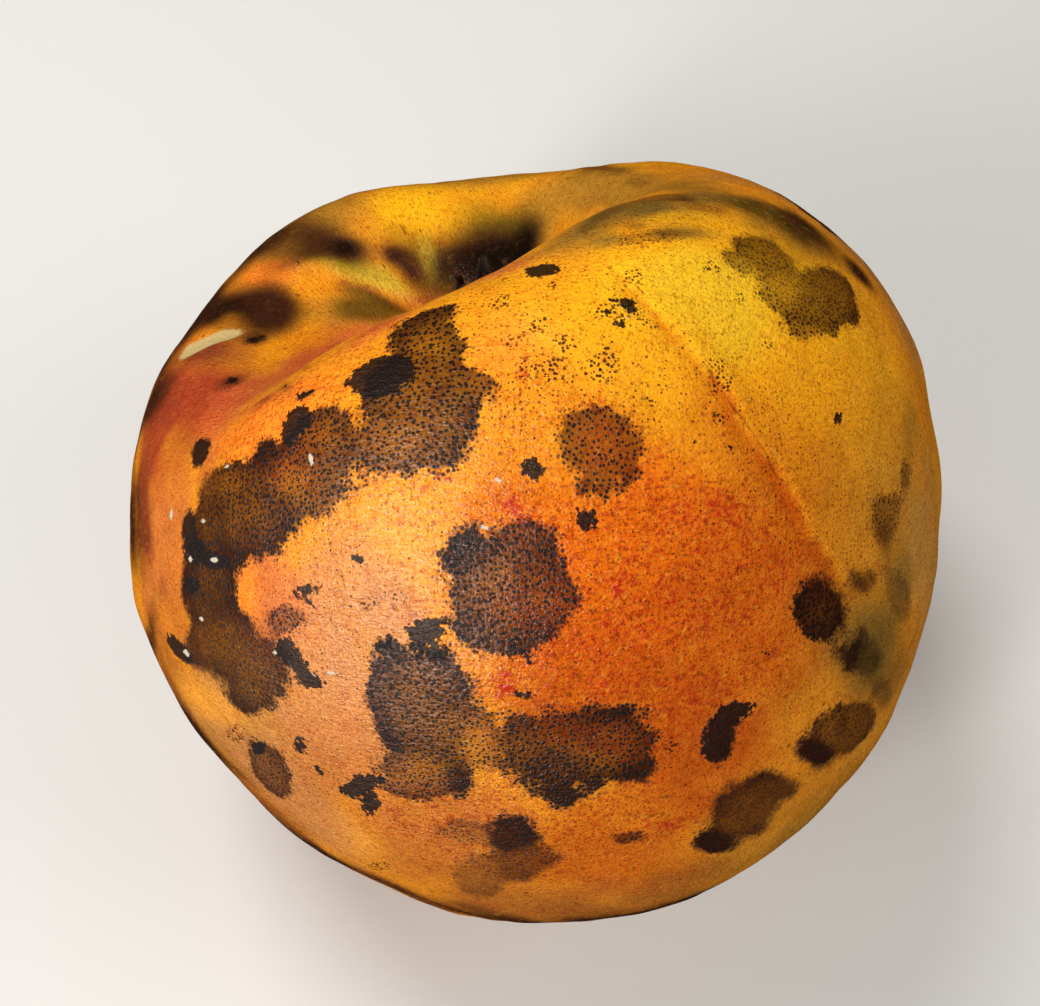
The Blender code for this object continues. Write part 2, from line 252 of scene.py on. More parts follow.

# Washes of ground colour, in the order they are laid: a tint, and the marks it fades out from
# Some washes are painted shade along the fruit's edges, in the basin and under its fold, and some are painted
# highlight and reflected light on the cheeks.
WASHES = (
    ("gold", (740, 320, 250, 150, -20)),
    ("honey", (800, 400, 160, 90, -10, 0.9)),
    ("mustard", (780, 470, 140, 70, -20)),
    ("straw", (700, 285, 90, 50, -10, 0.9), (735, 335, 60, 40, 0, 0.7)),
    ("peach", (520, 340, 60, 50, 0, 0.6)),
    ("ember", (502, 352, 40, 50, 20, 0.6)),
    ("amber", (550, 420, 100, 70)),
    ("rust", (604, 450, 50, 46, 0, 0.75)),
    ("orange", (620, 560, 190, 130)),
    ("rust", (738, 624, 126, 120, 0, 0.9)),
    ("deep", (600, 660, 130, 70, 0, 0.9)),
    ("brick", (700, 740, 120, 100, 0, 0.9)),
    ("rust", (560, 720, 100, 60), (600, 860, 130, 70, 0, 0.8)),
    ("clay", (480, 830, 70, 50, 0, 0.8), (400, 850, 90, 50, -20, 0.9)),
    ("fawn", (240, 740, 120, 70, -45)),
    ("peach", (330, 830, 80, 35, -35), (205, 705, 60, 20, -35, 0.6)),
    # Dull pink orange on the left cheek, partly painted sheen.
    ("salmon", (320, 640, 90, 110, 0, 0.9), (335, 750, 70, 66, 0, 0.9)),
    ("clay", (335, 775, 80, 60, 0, 0.6)),
    # Dull pink orange, partly painted sheen.
    ("salmon", (290, 805, 110, 46, -42, 0.85)),
    ("rose", (272, 605, 46, 60, 0, 0.85)),
    # Painted highlight: pale peach and salmon where the window's highlight falls on the left cheek.
    ("peach", (415, 545, 50, 70, 0, 0.6)),
    ("salmon", (382, 610, 42, 60, 0, 0.8)),
    ("rose", (262, 572, 40, 44, 0, 0.8)),
    ("ember", (246, 590, 18, 44, 0, 0.9)),
    ("clay", (170, 620, 40, 70, 0, 0.8)),
    ("rose", (165, 530, 40, 80, 0, 0.8)),
    ("red", (185, 395, 76, 74, 40)),
    ("ember", (250, 430, 60, 40, 20, 0.9)),
    ("blossom", (262, 402, 64, 16, 28, 0.6)),
    ("ember", (310, 390, 60, 25, 25, 0.6)),
    ("rose", (300, 365, 120, 24, 27, 0.8)),
    (
        "blossom",
        (245, 388, 60, 22, 25, 0.9), (315, 356, 70, 20, 27, 0.95), (385, 322, 60, 16, 27, 0.9),
        (432, 298, 40, 10, 25, 0.8),
    ),
    ("maroon", (150, 420, 26, 60, -20, 0.8)),
    ("red", (148, 452, 34, 50, 0, 0.9)),
    ("rose", (148, 600, 26, 60, 0, 0.7)),
    ("clay", (460, 285, 60, 14, 24, 0.8)),
    ("rose", (500, 268, 64, 13, 24, 0.85)),
    ("umber", (560, 240, 44, 12, 26, 0.9)),
    ("olive", (905, 520, 60, 140, 0, 0.7)),
    # Painted reflected light along the right edge.
    ("tan", (930, 560, 50, 110, 0, 0.8)),
    ("umber", (880, 640, 50, 60, 0, 0.7)),
    # Painted reflected light along the lower right edge.
    ("peach", (880, 725, 90, 25, 58, 0.6)),
    ("olive", (800, 830, 80, 40, 35, 0.8)),
    ("umber", (640, 185, 130, 34, 0, 0.9), (780, 215, 60, 30, -30, 0.7)),
    ("fawn", (834, 214, 74, 28, -40, 0.85), (912, 330, 66, 26, -66, 0.8)),
    ("umber", (300, 240, 90, 50, 25, 0.9), (318, 204, 70, 26, 22, 0.85), (440, 176, 120, 12, 3, 0.8)),
    ("ember", (262, 272, 44, 18, 10, 0.8)),
    ("gold", (424, 206, 66, 34, -4)),
    ("green", (500, 225, 70, 40, 0, 0.9)),
    ("umber", (540, 208, 28, 46, 0, 0.8), (590, 190, 48, 34, 0, 0.9)),
    ("mustard", (310, 338, 46, 16, 20, 0.7)),
    # Painted shade round the eye and on the basin's walls.
    ("shade", (445, 268, 80, 44, 0, 0.95), (520, 236, 30, 40, -10, 0.9)),
    # The basin's greenish yellow, with painted light on the fold's crest.
    ("lime", (352, 272, 46, 16, -20), (388, 284, 32, 17, -30)),
    # Painted shadow under the basin's fold: a dark line, with olive and shade below it.
    ("smudge_and_shade", (376, 300, 52, 7, -20)),
    ("olive", (330, 308, 60, 20, 4, 0.8)),
    ("shade", (368, 308, 52, 15, -6, 0.9)),
    ("lime", (428, 258, 11, 26, 10, 0.9)),
    # Painted shade on the basin's wall.
    ("shade", (502, 230, 34, 22, 0, 0.8)),
    ("bronze", (592, 222, 60, 30, 32, 0.8), (648, 206, 70, 26, 8)),
    ("gold", (668, 216, 44, 9, 8, 0.6)),
    ("bronze", (610, 240, 30, 9, 10, 0.8), (708, 197, 60, 18, -4, 0.9), (680, 232, 50, 9, 0, 0.7)),
    # Painted shade along the top left edges, and a dark smudge in the basin.
    ("smudge_and_shade", (250, 228, 100, 30, 34, 0.95), (158, 355, 24, 70, -28, 0.9), (341, 246, 34, 20, -6)),
    ("pitch", (346, 246, 18, 11, 0, 0.8)),
    # Dark smudges in the basin, and painted shade in its hollow beside the eye.
    (
        "smudge_and_shade",
        (300, 262, 26, 8, 20, 0.6), (394, 254, 20, 13, -30), (410, 270, 16, 30, 30),
        (245, 303, 84, 22, 2), (203, 308, 44, 34),
    ),
    ("pitch", (215, 304, 50, 16, 4, 0.8)),
    ("smudge_and_shade", (274, 309, 34, 24), (180, 322, 26, 56, -28)),
    ("maroon", (205, 352, 52, 18, 10, 0.9)),
    # Painted shade in the hollow round the eye, and a small dark spot beside the scar.
    ("smudge_and_shade", (255, 336, 15, 9, 0, 0.8), (480, 262, 72, 40, 8)),
    ("pitch", (488, 264, 62, 28, 8), (524, 244, 20, 34, -20)),
    (
        "smudge_and_shade",
        (590, 162, 42, 12, 0, 0.7), (684, 199, 17, 6, 0, 0.8), (640, 181, 16, 5, 0, 0.4),
        (636, 225, 14, 6, 0, 0.5), (672, 232, 34, 6, 0, 0.5), (232, 381, 18, 8, 20, 0.7),
        (284, 387, 12, 8, 0, 0.7), (305, 366, 13, 6, 20, 0.6), (262, 400, 18, 6, 20, 0.7),
        (307, 394, 12, 6, 20, 0.6),
    ),
    # Painted shade along the lower edge, where the skin turns from the light, over some brown skin.
    (
        "lower_edge_shade",
        (152, 690, 70, 30, -66, 0.85), (198, 768, 70, 30, -50, 0.85), (262, 832, 74, 28, -40, 0.85),
        (350, 882, 74, 28, -27, 0.85), (450, 912, 84, 26, -12, 0.85), (560, 912, 110, 36, 0, 0.85),
        (660, 900, 84, 30, 18, 0.6),
    ),
    # Painted shade along the left and lower edges, where the skin turns away from the light.
    ("maroon", (142, 512, 18, 66, 0, 0.9)),
    (
        "smudge_and_shade",
        (124, 515, 30, 66), (136, 410, 22, 60, -20, 0.9), (190, 752, 80, 22, -50),
        (140, 650, 22, 60, 14, 0.9), (308, 866, 90, 20, -33), (575, 930, 150, 20),
    ),
    ("clay", (490, 880, 40, 34, 0, 0.6)),
    # A dark smudge band at the top right, in the shade tint.
    ("shade", (792, 222, 66, 30, -34)),
    ("smudge_and_shade", (800, 224, 56, 22, -36, 0.8)),
    ("shade", (757, 206, 36, 14, -14, 0.9)),
    ("smudge_and_shade", (861, 274, 28, 11, -46)),
    ("bronze", (912, 430, 14, 40, 0, 0.35)),
    ("smudge_and_shade", (885, 530, 14, 40, 8, 0.6), (864, 585, 16, 16, 0, 0.6)),
    ("bronze", (905, 575, 16, 30, 0, 0.6), (876, 660, 44, 66, 20, 0.85)),
)

# Where the skin's patterns are soft, where small black dots are scattered, and where red grains are
MISTY = marks(
    (890, 640, 60, 150), (800, 800, 110, 80, 30, 0.9), (820, 260, 110, 60, -30, 0.5),
    (160, 450, 60, 130, 0, 0.8), (190, 660, 80, 110, 0, 0.5), (500, 880, 150, 50, 0, 0.7),
    (330, 270, 240, 110, 20), (500, 250, 90, 60), (650, 210, 130, 40),
)

FRECKLED = marks(
    (560, 390, 90, 50, 0, 0.85), (640, 400, 90, 45, 0, 0.65), (640, 340, 80, 50, -30, 0.55),
    (500, 310, 60, 50, 0, 0.55), (640, 220, 110, 36, 20, 0.6), (740, 400, 90, 60, -30, 0.45),
    (780, 480, 90, 60, 0, 0.35), (690, 560, 150, 120, 0, 0.25), (600, 800, 150, 90, 0, 0.25),
    (860, 560, 60, 90, 0, 0.4), (260, 390, 90, 50, 24, 0.4), (310, 600, 80, 110, 0, 0.6),
    (320, 770, 90, 70, 0, 0.5),
)

FLUSHED = marks(
    (640, 620, 260, 220), (300, 420, 200, 110, 20, 0.8), (520, 400, 130, 90, 0, 0.5),
    (520, 840, 260, 80, 0, 0.9),
)

FAR_MARKS = (
    FarMark(75, -6, 7.0),
    FarMark(98, 12, 4.5),
    FarMark(120, -14, 6.0),
    FarMark(40, -16, 5.0),
    FarMark(150, 4, 6.5),
    FarMark(185, -12, 5.0),
    FarMark(15, 16, 4.0),
    FarMark(60, 18, 3.0),
    FarMark(165, -22, 4.0),
    FarMark(100, -26, 5.0),
)

FAR_SCABS = (
    FarMark(82, 4, 1.6),
    FarMark(118, -4, 1.2),
    FarMark(48, -2, 1.0),
    FarMark(140, 14, 1.3),
    FarMark(20, -24, 1.2),
)

FAR_WASHES = (
    ("gold", FarMark(60, 10, 26)),
    ("orange", FarMark(130, 0, 24)),
    ("red", FarMark(165, -10, 20)),
    ("green", FarMark(90, -26, 22)),
    ("olive", FarMark(-60, -28, 18)),
    ("gold", FarMark(10, -14, 20)),
)

# The seam that runs from the rim down the right cheek, and the fold in the basin, in photograph pixels
SEAM = (
    (612, 268), (640, 292), (668, 325), (700, 364), (722, 388), (748, 432), (775, 472), (815, 540),
    (862, 612),
)
BASIN_RIDGE = ((300, 262), (345, 274), (385, 287), (415, 300))


def length(name, description, default):
    return FloatProperty(name=name, description=description, default=default, unit="LENGTH")


def angle(name, description, degrees):
    return FloatProperty(name=name, description=description, default=radians(degrees), subtype="ANGLE")


def tint(name, description, *colour):
    return FloatVectorProperty(name=name, description=description, default=colour, subtype="COLOR_GAMMA")


class AppleForm(bpy.types.PropertyGroup):
    """Sizes of the fruit, with its axis upright and its middle at the origin."""

    cheek_radius: length("Cheek radius", "Mean radius at the widest level", 38.75 * MM)
    cheek_height: length("Cheek height", "Widest level above the middle", 0.7 * MM)
    rim_radius: length("Rim radius", "Radius of the basin's rim", 21.8 * MM)
    rim_height: length("Rim height", "Height of the rim above the middle", 27.75 * MM)
    basin_floor: length("Basin floor", "Height of the basin's floor", 17.6 * MM)
    base_depth: length("Base depth", "Depth of the base below the middle", 32.3 * MM)
    cavity_roof: length("Cavity roof", "Depth of the stalk cavity's roof", 18.1 * MM)
    lean: angle("Lean", "How far the fruit leans away from the front", 34)
    tip: angle("Tip", "How far the fruit tips to the left", 20.5)
    spot_depth: length("Spot depth", "Depth of the flat spot it rests on", 1.3 * MM)
    round_steps: IntProperty(
        name="Round steps", description="Faces round the fruit", default=396, min=24, max=400
    )
    outline_step: length("Outline step", "Face length down the outline", 0.63 * MM)


class AppleLooks(bpy.types.PropertyGroup):
    """Colours of the skin, the calyx and the stalk."""

    gold: tint("Gold", "Ripe yellow ground", 0.96, 0.68, 0.06)
    straw: tint("Straw", "Palest yellow ground", 0.96, 0.75, 0.13)
    honey: tint("Honey", "Yellow beside the rim's crest", 0.92, 0.60, 0.04)
    mustard: tint("Mustard", "Yellow turning brown", 0.85, 0.50, 0.03)
    amber: tint("Amber", "Yellow turning orange", 0.91, 0.56, 0.08)
    orange: tint("Orange", "Orange of the cheek", 0.85, 0.40, 0.01)
    deep: tint("Deep orange", "Sunned orange", 0.80, 0.33, 0.01)
    rust: tint("Rust", "Red orange", 0.78, 0.35, 0.01)
    brick: tint("Brick", "Reddest orange", 0.73, 0.30, 0.01)
    ember: tint("Ember", "Brightest orange", 1.0, 0.52, 0.13)
    # Pale orange, also painted highlight and reflected light on the cheeks.
    peach: tint("Peach", "Pale orange", 0.98, 0.64, 0.17)
    # Dull pink orange, partly painted sheen and highlight on the left cheek.
    salmon: tint("Salmon", "Dull pink orange", 0.79, 0.50, 0.27)
    # Painted reflected light on the right edge.
    tan: tint("Tan", "Greyish tan of the right edge", 0.84, 0.60, 0.27)
    # Brown, mostly painted shade along the lower edge.
    lower_edge_shade: tint("Russet", "Brown orange along the lower edge", 0.62, 0.34, 0.12)
    fawn: tint("Fawn", "Dull tan orange", 0.73, 0.49, 0.22)
    blossom: tint("Blossom", "Red streak on the rim", 0.78, 0.34, 0.17)
    # Near-black: painted shade in the basin's hollow round the eye, and dark smudges in the basin.
    pitch: tint("Pitch", "Darkest hollow of the basin", 0.08, 0.05, 0.03)
    clay: tint("Clay", "Brown orange", 0.76, 0.42, 0.13)
    rose: tint("Rose", "Pink on the rim", 0.80, 0.42, 0.20)
    red: tint("Red", "Blush beside the rim", 0.66, 0.25, 0.13)
    maroon: tint("Maroon", "Dark red beside the scar", 0.50, 0.20, 0.12)
    umber: tint("Umber", "Brown shoulder", 0.66, 0.46, 0.13)
    bronze: tint("Bronze", "Brown smudges", 0.50, 0.38, 0.14)
    olive: tint("Olive", "Shaded side", 0.78, 0.53, 0.13)
    green: tint("Green", "Unripe skin in the basin", 0.55, 0.42, 0.06)
    # Greenish yellow of the basin, partly painted light on its folds' crests.
    lime: tint("Lime", "Pale folds in the basin", 0.80, 0.66, 0.18)
    # Painted shade in the basin's folds and round the eye; at the top right it darkens a smudge band.
    shade: tint("Shade", "Dark folds in the basin", 0.36, 0.27, 0.06)
    # Dark smudges, and painted shade along the fruit's edges, round the eye and under the basin's fold.
    smudge_and_shade: tint("Cocoa", "Soft dark smudges", 0.22, 0.11, 0.06)
    scorch: tint("Scorch", "Tint of small browned patches", 0.88, 0.70, 0.45)
    soot: tint("Soot", "Tint the blotches' veil gives the skin", 0.37, 0.31, 0.33)
    crust: tint("Crust", "Thickest soot", 0.22, 0.10, 0.04)
    scab: tint("Scab", "Black of dots and dead spots", 0.09, 0.045, 0.03)
    glow: tint("Glow", "Fine bright grains", 1.0, 0.76, 0.22)
    blush: tint("Blush", "Small red spots", 0.70, 0.12, 0.04)
    freckle: tint("Freckle", "Fine red-brown dots", 0.46, 0.16, 0.06)
    cork: tint("Cork", "Pale healed scar", 0.76, 0.65, 0.42)
    # White of flecks, partly painted glints.
    fleck_and_glint: tint("Fleck", "White flecks", 0.80, 0.74, 0.65)
    sepal: tint("Sepal", "Dry sepals", 0.25, 0.17, 0.11)
    bark: tint("Bark", "Dark bark of the stalk", 0.20, 0.12, 0.07)
    wood: tint("Wood", "Wood of the stalk", 0.42, 0.29, 0.18)


class AppleStudio(bpy.types.PropertyGroup):
    """Camera and light."""

    camera_height: angle("Camera height", "Angle of the view above level", 65)
    camera_distance: length("Camera distance", "From the camera to the fruit", 150 * MM)
    camera_lens: FloatProperty(
        name="Lens", description="Focal length on a 36 mm wide picture", default=54.0, unit="CAMERA"
    )
    aim_right: length("Aim right", "View centre from the fruit's middle", -0.8 * MM)
    aim_up: length("Aim up", "View centre from the fruit's middle", 1.0 * MM)
    floor: tint("Floor", "Pale floor", 0.82, 0.815, 0.80)
    air: tint("Air", "Light from all round", 0.95, 0.97, 1.0)
    air_strength: FloatProperty(
        name="Air strength", description="Strength of the light from all round", default=0.24, min=0.0
    )


class Graph:
    """Adds nodes to one node tree and wires them."""

    def __init__(self, tree):
        self.tree = tree

    def add(self, kind, inputs=None, **settings):
        """A node of this kind, with its settings, and its inputs set to values or wired to sockets."""
        node = self.tree.nodes.new(kind)
        for name, value in settings.items():
            setattr(node, name, value)
        for name, value in (inputs or {}).items():
            self.feed(node.inputs[name], value)
        return node

    def feed(self, socket, value):
        if isinstance(value, bpy.types.NodeSocket):
            self.tree.links.new(value, socket)
        else:
            socket.default_value = value

    def math(self, operation, first, second=0.0, extra=0.0, clamp=False):
        inputs = {0: first, 1: second, 2: extra}
        return self.add("ShaderNodeMath", inputs, operation=operation, use_clamp=clamp).outputs[0]

    def times(self, first, second, clamp=False):
        return self.math("MULTIPLY", first, second, clamp=clamp)

    def scaled(self, value, by, plus, clamp=False):
        """A value times a second one, plus a third."""
        return self.math("MULTIPLY_ADD", value, by, plus, clamp)

    def ragged(self, field, *noises):
        """A field with noises added to it, each with its own reach in the field's unit."""
        for noise, reach in noises:
            field = self.math("ADD", field, self.scaled(noise, reach, -0.5 * reach))
        return field

    def mix(self, factor, first, second, blend="MIX"):
        node = self.add("ShaderNodeMix", data_type="RGBA", blend_type=blend)
        self.feed(node.inputs["Factor"], factor)
        self.feed(node.inputs[6], first)
        self.feed(node.inputs[7], second)
        return node.outputs[2]

    def paint(self, colour, other, mask, share, blend="MIX"):
        """The colour with another one laid over it, in this share of the mask."""
        return self.mix(self.times(mask, share), colour, other, blend)

    def noise(self, place, size, detail=2.0, roughness=0.5, distortion=0.0):
        """Noise between 0 and 1, whose features are about this size in metres."""
        inputs = {
            "Vector": place,
            "Scale": 1 / size,
            "Detail": detail,
            "Roughness": roughness,
            "Distortion": distortion,
        }
        return self.add("ShaderNodeTexNoise", inputs).outputs["Fac"]

    def cells(self, place, spacing, randomness=1.0):
        """Cells on a flat map: the distance to a middle, as a share of the spacing, and two random values."""
        inputs = {"Vector": place, "Scale": 1 / spacing, "Randomness": randomness}
        found = self.add("ShaderNodeTexVoronoi", inputs, voronoi_dimensions="2D").outputs
        split = self.add("ShaderNodeSeparateColor", {"Color": found["Color"]}).outputs
        return found["Distance"], split["Red"], split["Green"]

    def scattered(self, place, spacing, share, small, large, uneven):
        """Small uneven dots in this share of the cells. Their radii are shares of the spacing."""
        distance, chance, size = self.cells(place, spacing)
        edge = self.scaled(size, large - small, small)
        distance = self.ragged(distance, (uneven, 1.2 * small))
        dot = self.step(edge, self.times(edge, 0.5), distance)
        return self.times(dot, self.math("LESS_THAN", chance, share))

    def step(self, low, high, value):
        """0 below low, 1 above high, and a smooth step between. It falls where low is above high."""
        inputs = {"Value": value, "From Min": low, "From Max": high}
        return self.add("ShaderNodeMapRange", inputs, interpolation_type="SMOOTHSTEP").outputs[0]

    def attribute(self, name, output="Fac"):
        return self.add("ShaderNodeAttribute", attribute_name=name).outputs[output]

    def place(self):
        return self.add("ShaderNodeTexCoord").outputs["Object"]

    def shifted(self, place, operation, by):
        """A place moved, scaled or otherwise changed by a vector."""
        return self.add("ShaderNodeVectorMath", {0: place, 1: by}, operation=operation).outputs[0]


def linear(colour):
    """A display colour as the linear colour that shaders use, with alpha."""
    parts = [part / 12.92 if part <= 0.04045 else ((part + 0.055) / 1.055) ** 2.4 for part in colour]
    return (*parts, 1.0)


def ease(low, high, value):
    """0 below low, 1 above high, and a smooth step between, for arrays."""
    share = np.clip((value - low) / (high - low), 0.0, 1.0)
    return share * share * (3 - 2 * share)


def waves(kinds, azimuth):
    return sum(height * np.cos(count * (azimuth - radians(crest))) for count, height, crest in kinds)


def soft_lumps(points, size, seed):
    """A gentle, even unevenness between about -1 and 1, as a sum of plane waves about this long."""
    random = np.random.default_rng(seed)
    total = np.zeros(len(points))
    count = 14
    for _ in range(count):
        way = random.normal(size=3)
        way *= 2 * pi / (size * random.uniform(0.7, 1.5) * np.linalg.norm(way))
        total += np.sin(points @ way + random.uniform(0, 2 * pi))
    return total / (count / 2) ** 0.5


def fruit_outline(form):
    """Radius and height of the fruit's outline, from the basin's floor down to the cavity's roof."""
    cheek, rim, top, base = form.cheek_radius, form.rim_radius, form.rim_height, form.base_depth
    basin = top - form.basin_floor
    shoulder = cheek - rim
    return [
        Vector((0.0, form.basin_floor)),
        Vector((0.14 * rim, form.basin_floor)),
        Vector((0.30 * rim, form.basin_floor + 0.10 * basin)),
        Vector((0.52 * rim, form.basin_floor + 0.47 * basin)),
        Vector((0.75 * rim, form.basin_floor + 0.84 * basin)),
        Vector((rim, top)),
        Vector((rim + 0.43 * shoulder, 0.89 * top)),
        Vector((0.895 * cheek, 0.62 * top)),
        Vector((0.985 * cheek, form.cheek_height + 0.20 * cheek)),
        Vector((cheek, form.cheek_height - 0.07 * cheek)),
        Vector((0.935 * cheek, 0.5 * form.cheek_height - 0.44 * base)),
        Vector((0.79 * cheek, -0.735 * base)),
        Vector((0.592 * cheek, -0.926 * base)),
        Vector((0.365 * cheek, -base)),
        Vector((0.23 * cheek, -0.91 * base)),
        Vector((0.145 * cheek, -0.765 * base)),
        Vector((0.085 * cheek, -0.62 * base)),
        Vector((0.0, -form.cavity_roof)),
    ]


def span_point(before, start, end, after, share):
    """A point on the smooth curve from start to end, which also heeds the points beside them."""
    knots = [0.0]
    for one, two in ((before, start), (start, end), (end, after)):
        knots.append(knots[-1] + (two - one).length ** 0.5)
    at = knots[1] + share * (knots[2] - knots[1])

    def between(one, two, first, last):
        return ((last - at) * one + (at - first) * two) / (last - first)

    low = between(before, start, knots[0], knots[1])
    middle = between(start, end, knots[1], knots[2])
    high = between(end, after, knots[2], knots[3])
    low = between(low, middle, knots[0], knots[2])
    high = between(middle, high, knots[1], knots[3])
    return between(low, high, knots[1], knots[2])


def smooth_outline(points, step):
    """The outline as a smooth curve, divided about every step, mirrored over the axis at its ends."""
    first = Vector((-points[1].x, points[1].y))
    last = Vector((-points[-2].x, points[-2].y))
    known = [first, *points, last]
    found = []
    for i in range(1, len(known) - 2):
        count = max(1, round((known[i + 1] - known[i]).length / step))
        found += [span_point(*known[i - 1 : i + 3], n / count) for n in range(count)]
    return [*found, points[-1]]


def skin_outline(form):
    """The fruit's outline, with the calyx's socket at its start and the stalk's hole at its end."""
    floor = form.basin_floor
    socket = [
        Vector((0.0, floor - 1.2 * MM)),
        Vector((1.2 * MM, floor - 1.2 * MM)),
        Vector((2.4 * MM, floor - 1.2 * MM)),
        Vector((SOCKET_RADIUS - 0.1 * MM, floor - 1.15 * MM)),
        Vector((SOCKET_RADIUS, floor - 0.6 * MM)),
        Vector((SOCKET_RADIUS + 0.1 * MM, floor - 0.1 * MM)),
    ]
    roof = -form.cavity_roof
    hole = [
        Vector((HOLE_RADIUS + 0.1 * MM, roof - 0.3 * MM)),
        Vector((HOLE_RADIUS, roof + 0.3 * MM)),
        Vector((HOLE_RADIUS, roof + 2.2 * MM)),
        Vector((HOLE_RADIUS - 0.1 * MM, roof + 4.2 * MM)),
        Vector((0.0, roof + 4.3 * MM)),
    ]
    wall = []
    for point in smooth_outline(fruit_outline(form), form.outline_step):
        opening = SOCKET_RADIUS if point.y > 0.0 else HOLE_RADIUS
        if point.x > opening + 0.35 * MM:
            wall.append(point)
    return [*socket, *wall, *hole]


def turned(outline, steps):
    """A bmesh of the closed form that an outline of radius and height makes round the axis."""
    shape = bmesh.new()
    corners = [shape.verts.new((point.x, 0.0, point.y)) for point in outline]
    edges = [shape.edges.new(pair) for pair in zip(corners, corners[1:])]
    bmesh.ops.spin(
        shape,
        geom=corners + edges,
        axis=(0.0, 0.0, 1.0),
        cent=(0.0, 0.0, 0.0),
        angle=2 * pi,
        steps=steps,
        use_merge=True,
    )
    bmesh.ops.remove_doubles(shape, verts=shape.verts, dist=0.001 * MM)
    bmesh.ops.recalc_face_normals(shape, faces=shape.faces)
    return shape


def as_mesh(shape, name):
    mesh = bpy.data.meshes.new(name)
    shape.to_mesh(mesh)
    shape.free()
    return mesh


def places(mesh):
    found = np.empty(len(mesh.vertices) * 3)
    mesh.vertices.foreach_get("co", found)
    return found.reshape(-1, 3)


def set_places(mesh, found):
    mesh.vertices.foreach_set("co", found.ravel())
    mesh.update()


def outward(mesh):
    found = np.empty(len(mesh.vertices) * 3)
    mesh.vertex_normals.foreach_get("vector", found)
    return found.reshape(-1, 3)


def write_attribute(mesh, name, kind, key, values):
    layer = mesh.attributes.new(name, kind, "POINT")
    layer.data.foreach_set(key, values.astype(np.float32).ravel())


def write_field(mesh, name, values):
    write_attribute(mesh, name, "FLOAT", "value", values)


def grown(points, form):
    """Where points of the turned form lie on the real, lopsided fruit."""
    x, y, z = points.T
    azimuth = np.arctan2(y, x)
    radius = np.hypot(x, y)
    cheeks = 1.0 + waves(CHEEK_WAVES, azimuth)
    crown = ease(-0.25 * form.cheek_radius, 0.8 * form.cheek_radius, z)
    crown *= ease(0.27 * form.rim_radius, 0.9 * form.rim_radius, radius)
    folds = ease(3.3 * MM, FOLDS_START, radius)
    folds *= 1.0 - ease(0.5 * form.rim_radius, form.rim_radius, radius)
    upper = z > 0.0
    inside = upper * (1.0 - ease(EYE_RADIUS, 1.15 * form.rim_radius, radius))
    lift = crown * waves(CROWN_WAVES, azimuth) + upper * folds * waves(BASIN_FOLDS, azimuth)
    shift = np.outer(inside, BASIN_OFFSET)
    return np.column_stack((x * cheeks, y * cheeks, z + lift)) + shift


def lying(form):
    """The turn that leans the upright fruit back and tips it to the left."""
    return Matrix.Rotation(-form.lean, 3, "X") @ Matrix.Rotation(-form.tip, 3, "Y")


def laid_down(points, form):
    """The fruit's points turned and set on the ground, and where that puts the fruit's middle."""
    points = points @ np.array(lying(form)).T
    low, high = points.min(axis=0), points.max(axis=0)
    middle = np.array(((low[0] + high[0]) / 2, (low[1] + high[1]) / 2, low[2] + form.spot_depth))
    return points - middle, Vector(-middle)


def fruit_middle(form):
    """Where the upright fruit's middle lies once the fruit is laid down."""
    mesh = as_mesh(turned(skin_outline(form), MEASURE_STEPS), "measured")
    _, middle = laid_down(grown(places(mesh), form), form)
    bpy.data.meshes.remove(mesh)
    return middle


def laid(points, form):
    """Puts upright points, as rows, where the laid-down fruit has them."""
    return points @ np.array(lying(form)).T + np.array(fruit_middle(form))


def fit_to_box(points):
    """Shrinks the points a very little along each axis, so that they stay in the frame's box."""
    low, high = (np.array(corner) for corner in CAD_BOX)
    foot = np.array(((low[0] + high[0]) / 2, (low[1] + high[1]) / 2, low[2]))
    spread = np.abs(points - foot).max(axis=0)
    return foot + (points - foot) * np.minimum(1.0, (high - foot) / spread)


class PhotoView:
    """The photograph's camera, which turns a pixel into a ray."""

    def __init__(self, studio, middle):
        height = studio.camera_height
        self.towards = Vector((0.0, -cos(height), sin(height)))
        self.up = Vector((0.0, sin(height), cos(height)))
        self.right = Vector((1.0, 0.0, 0.0))
        aim = middle + self.right * studio.aim_right + self.up * studio.aim_up
        self.eye = aim + self.towards * studio.camera_distance
        self.focal = studio.camera_lens / SENSOR_WIDTH * PHOTO_WIDE

    def ray(self, x, y):
        across = (x - PHOTO_WIDE / 2) / self.focal
        upward = (PHOTO_HIGH / 2 - y) / self.focal
        return (self.right * across + self.up * upward - self.towards).normalized()

    def hit(self, tree, x, y):
        """Where the ray through a pixel meets the skin, and the skin's normal there, or two Nones."""
        return tree.ray_cast(self.eye, self.ray(x, y))[:2]


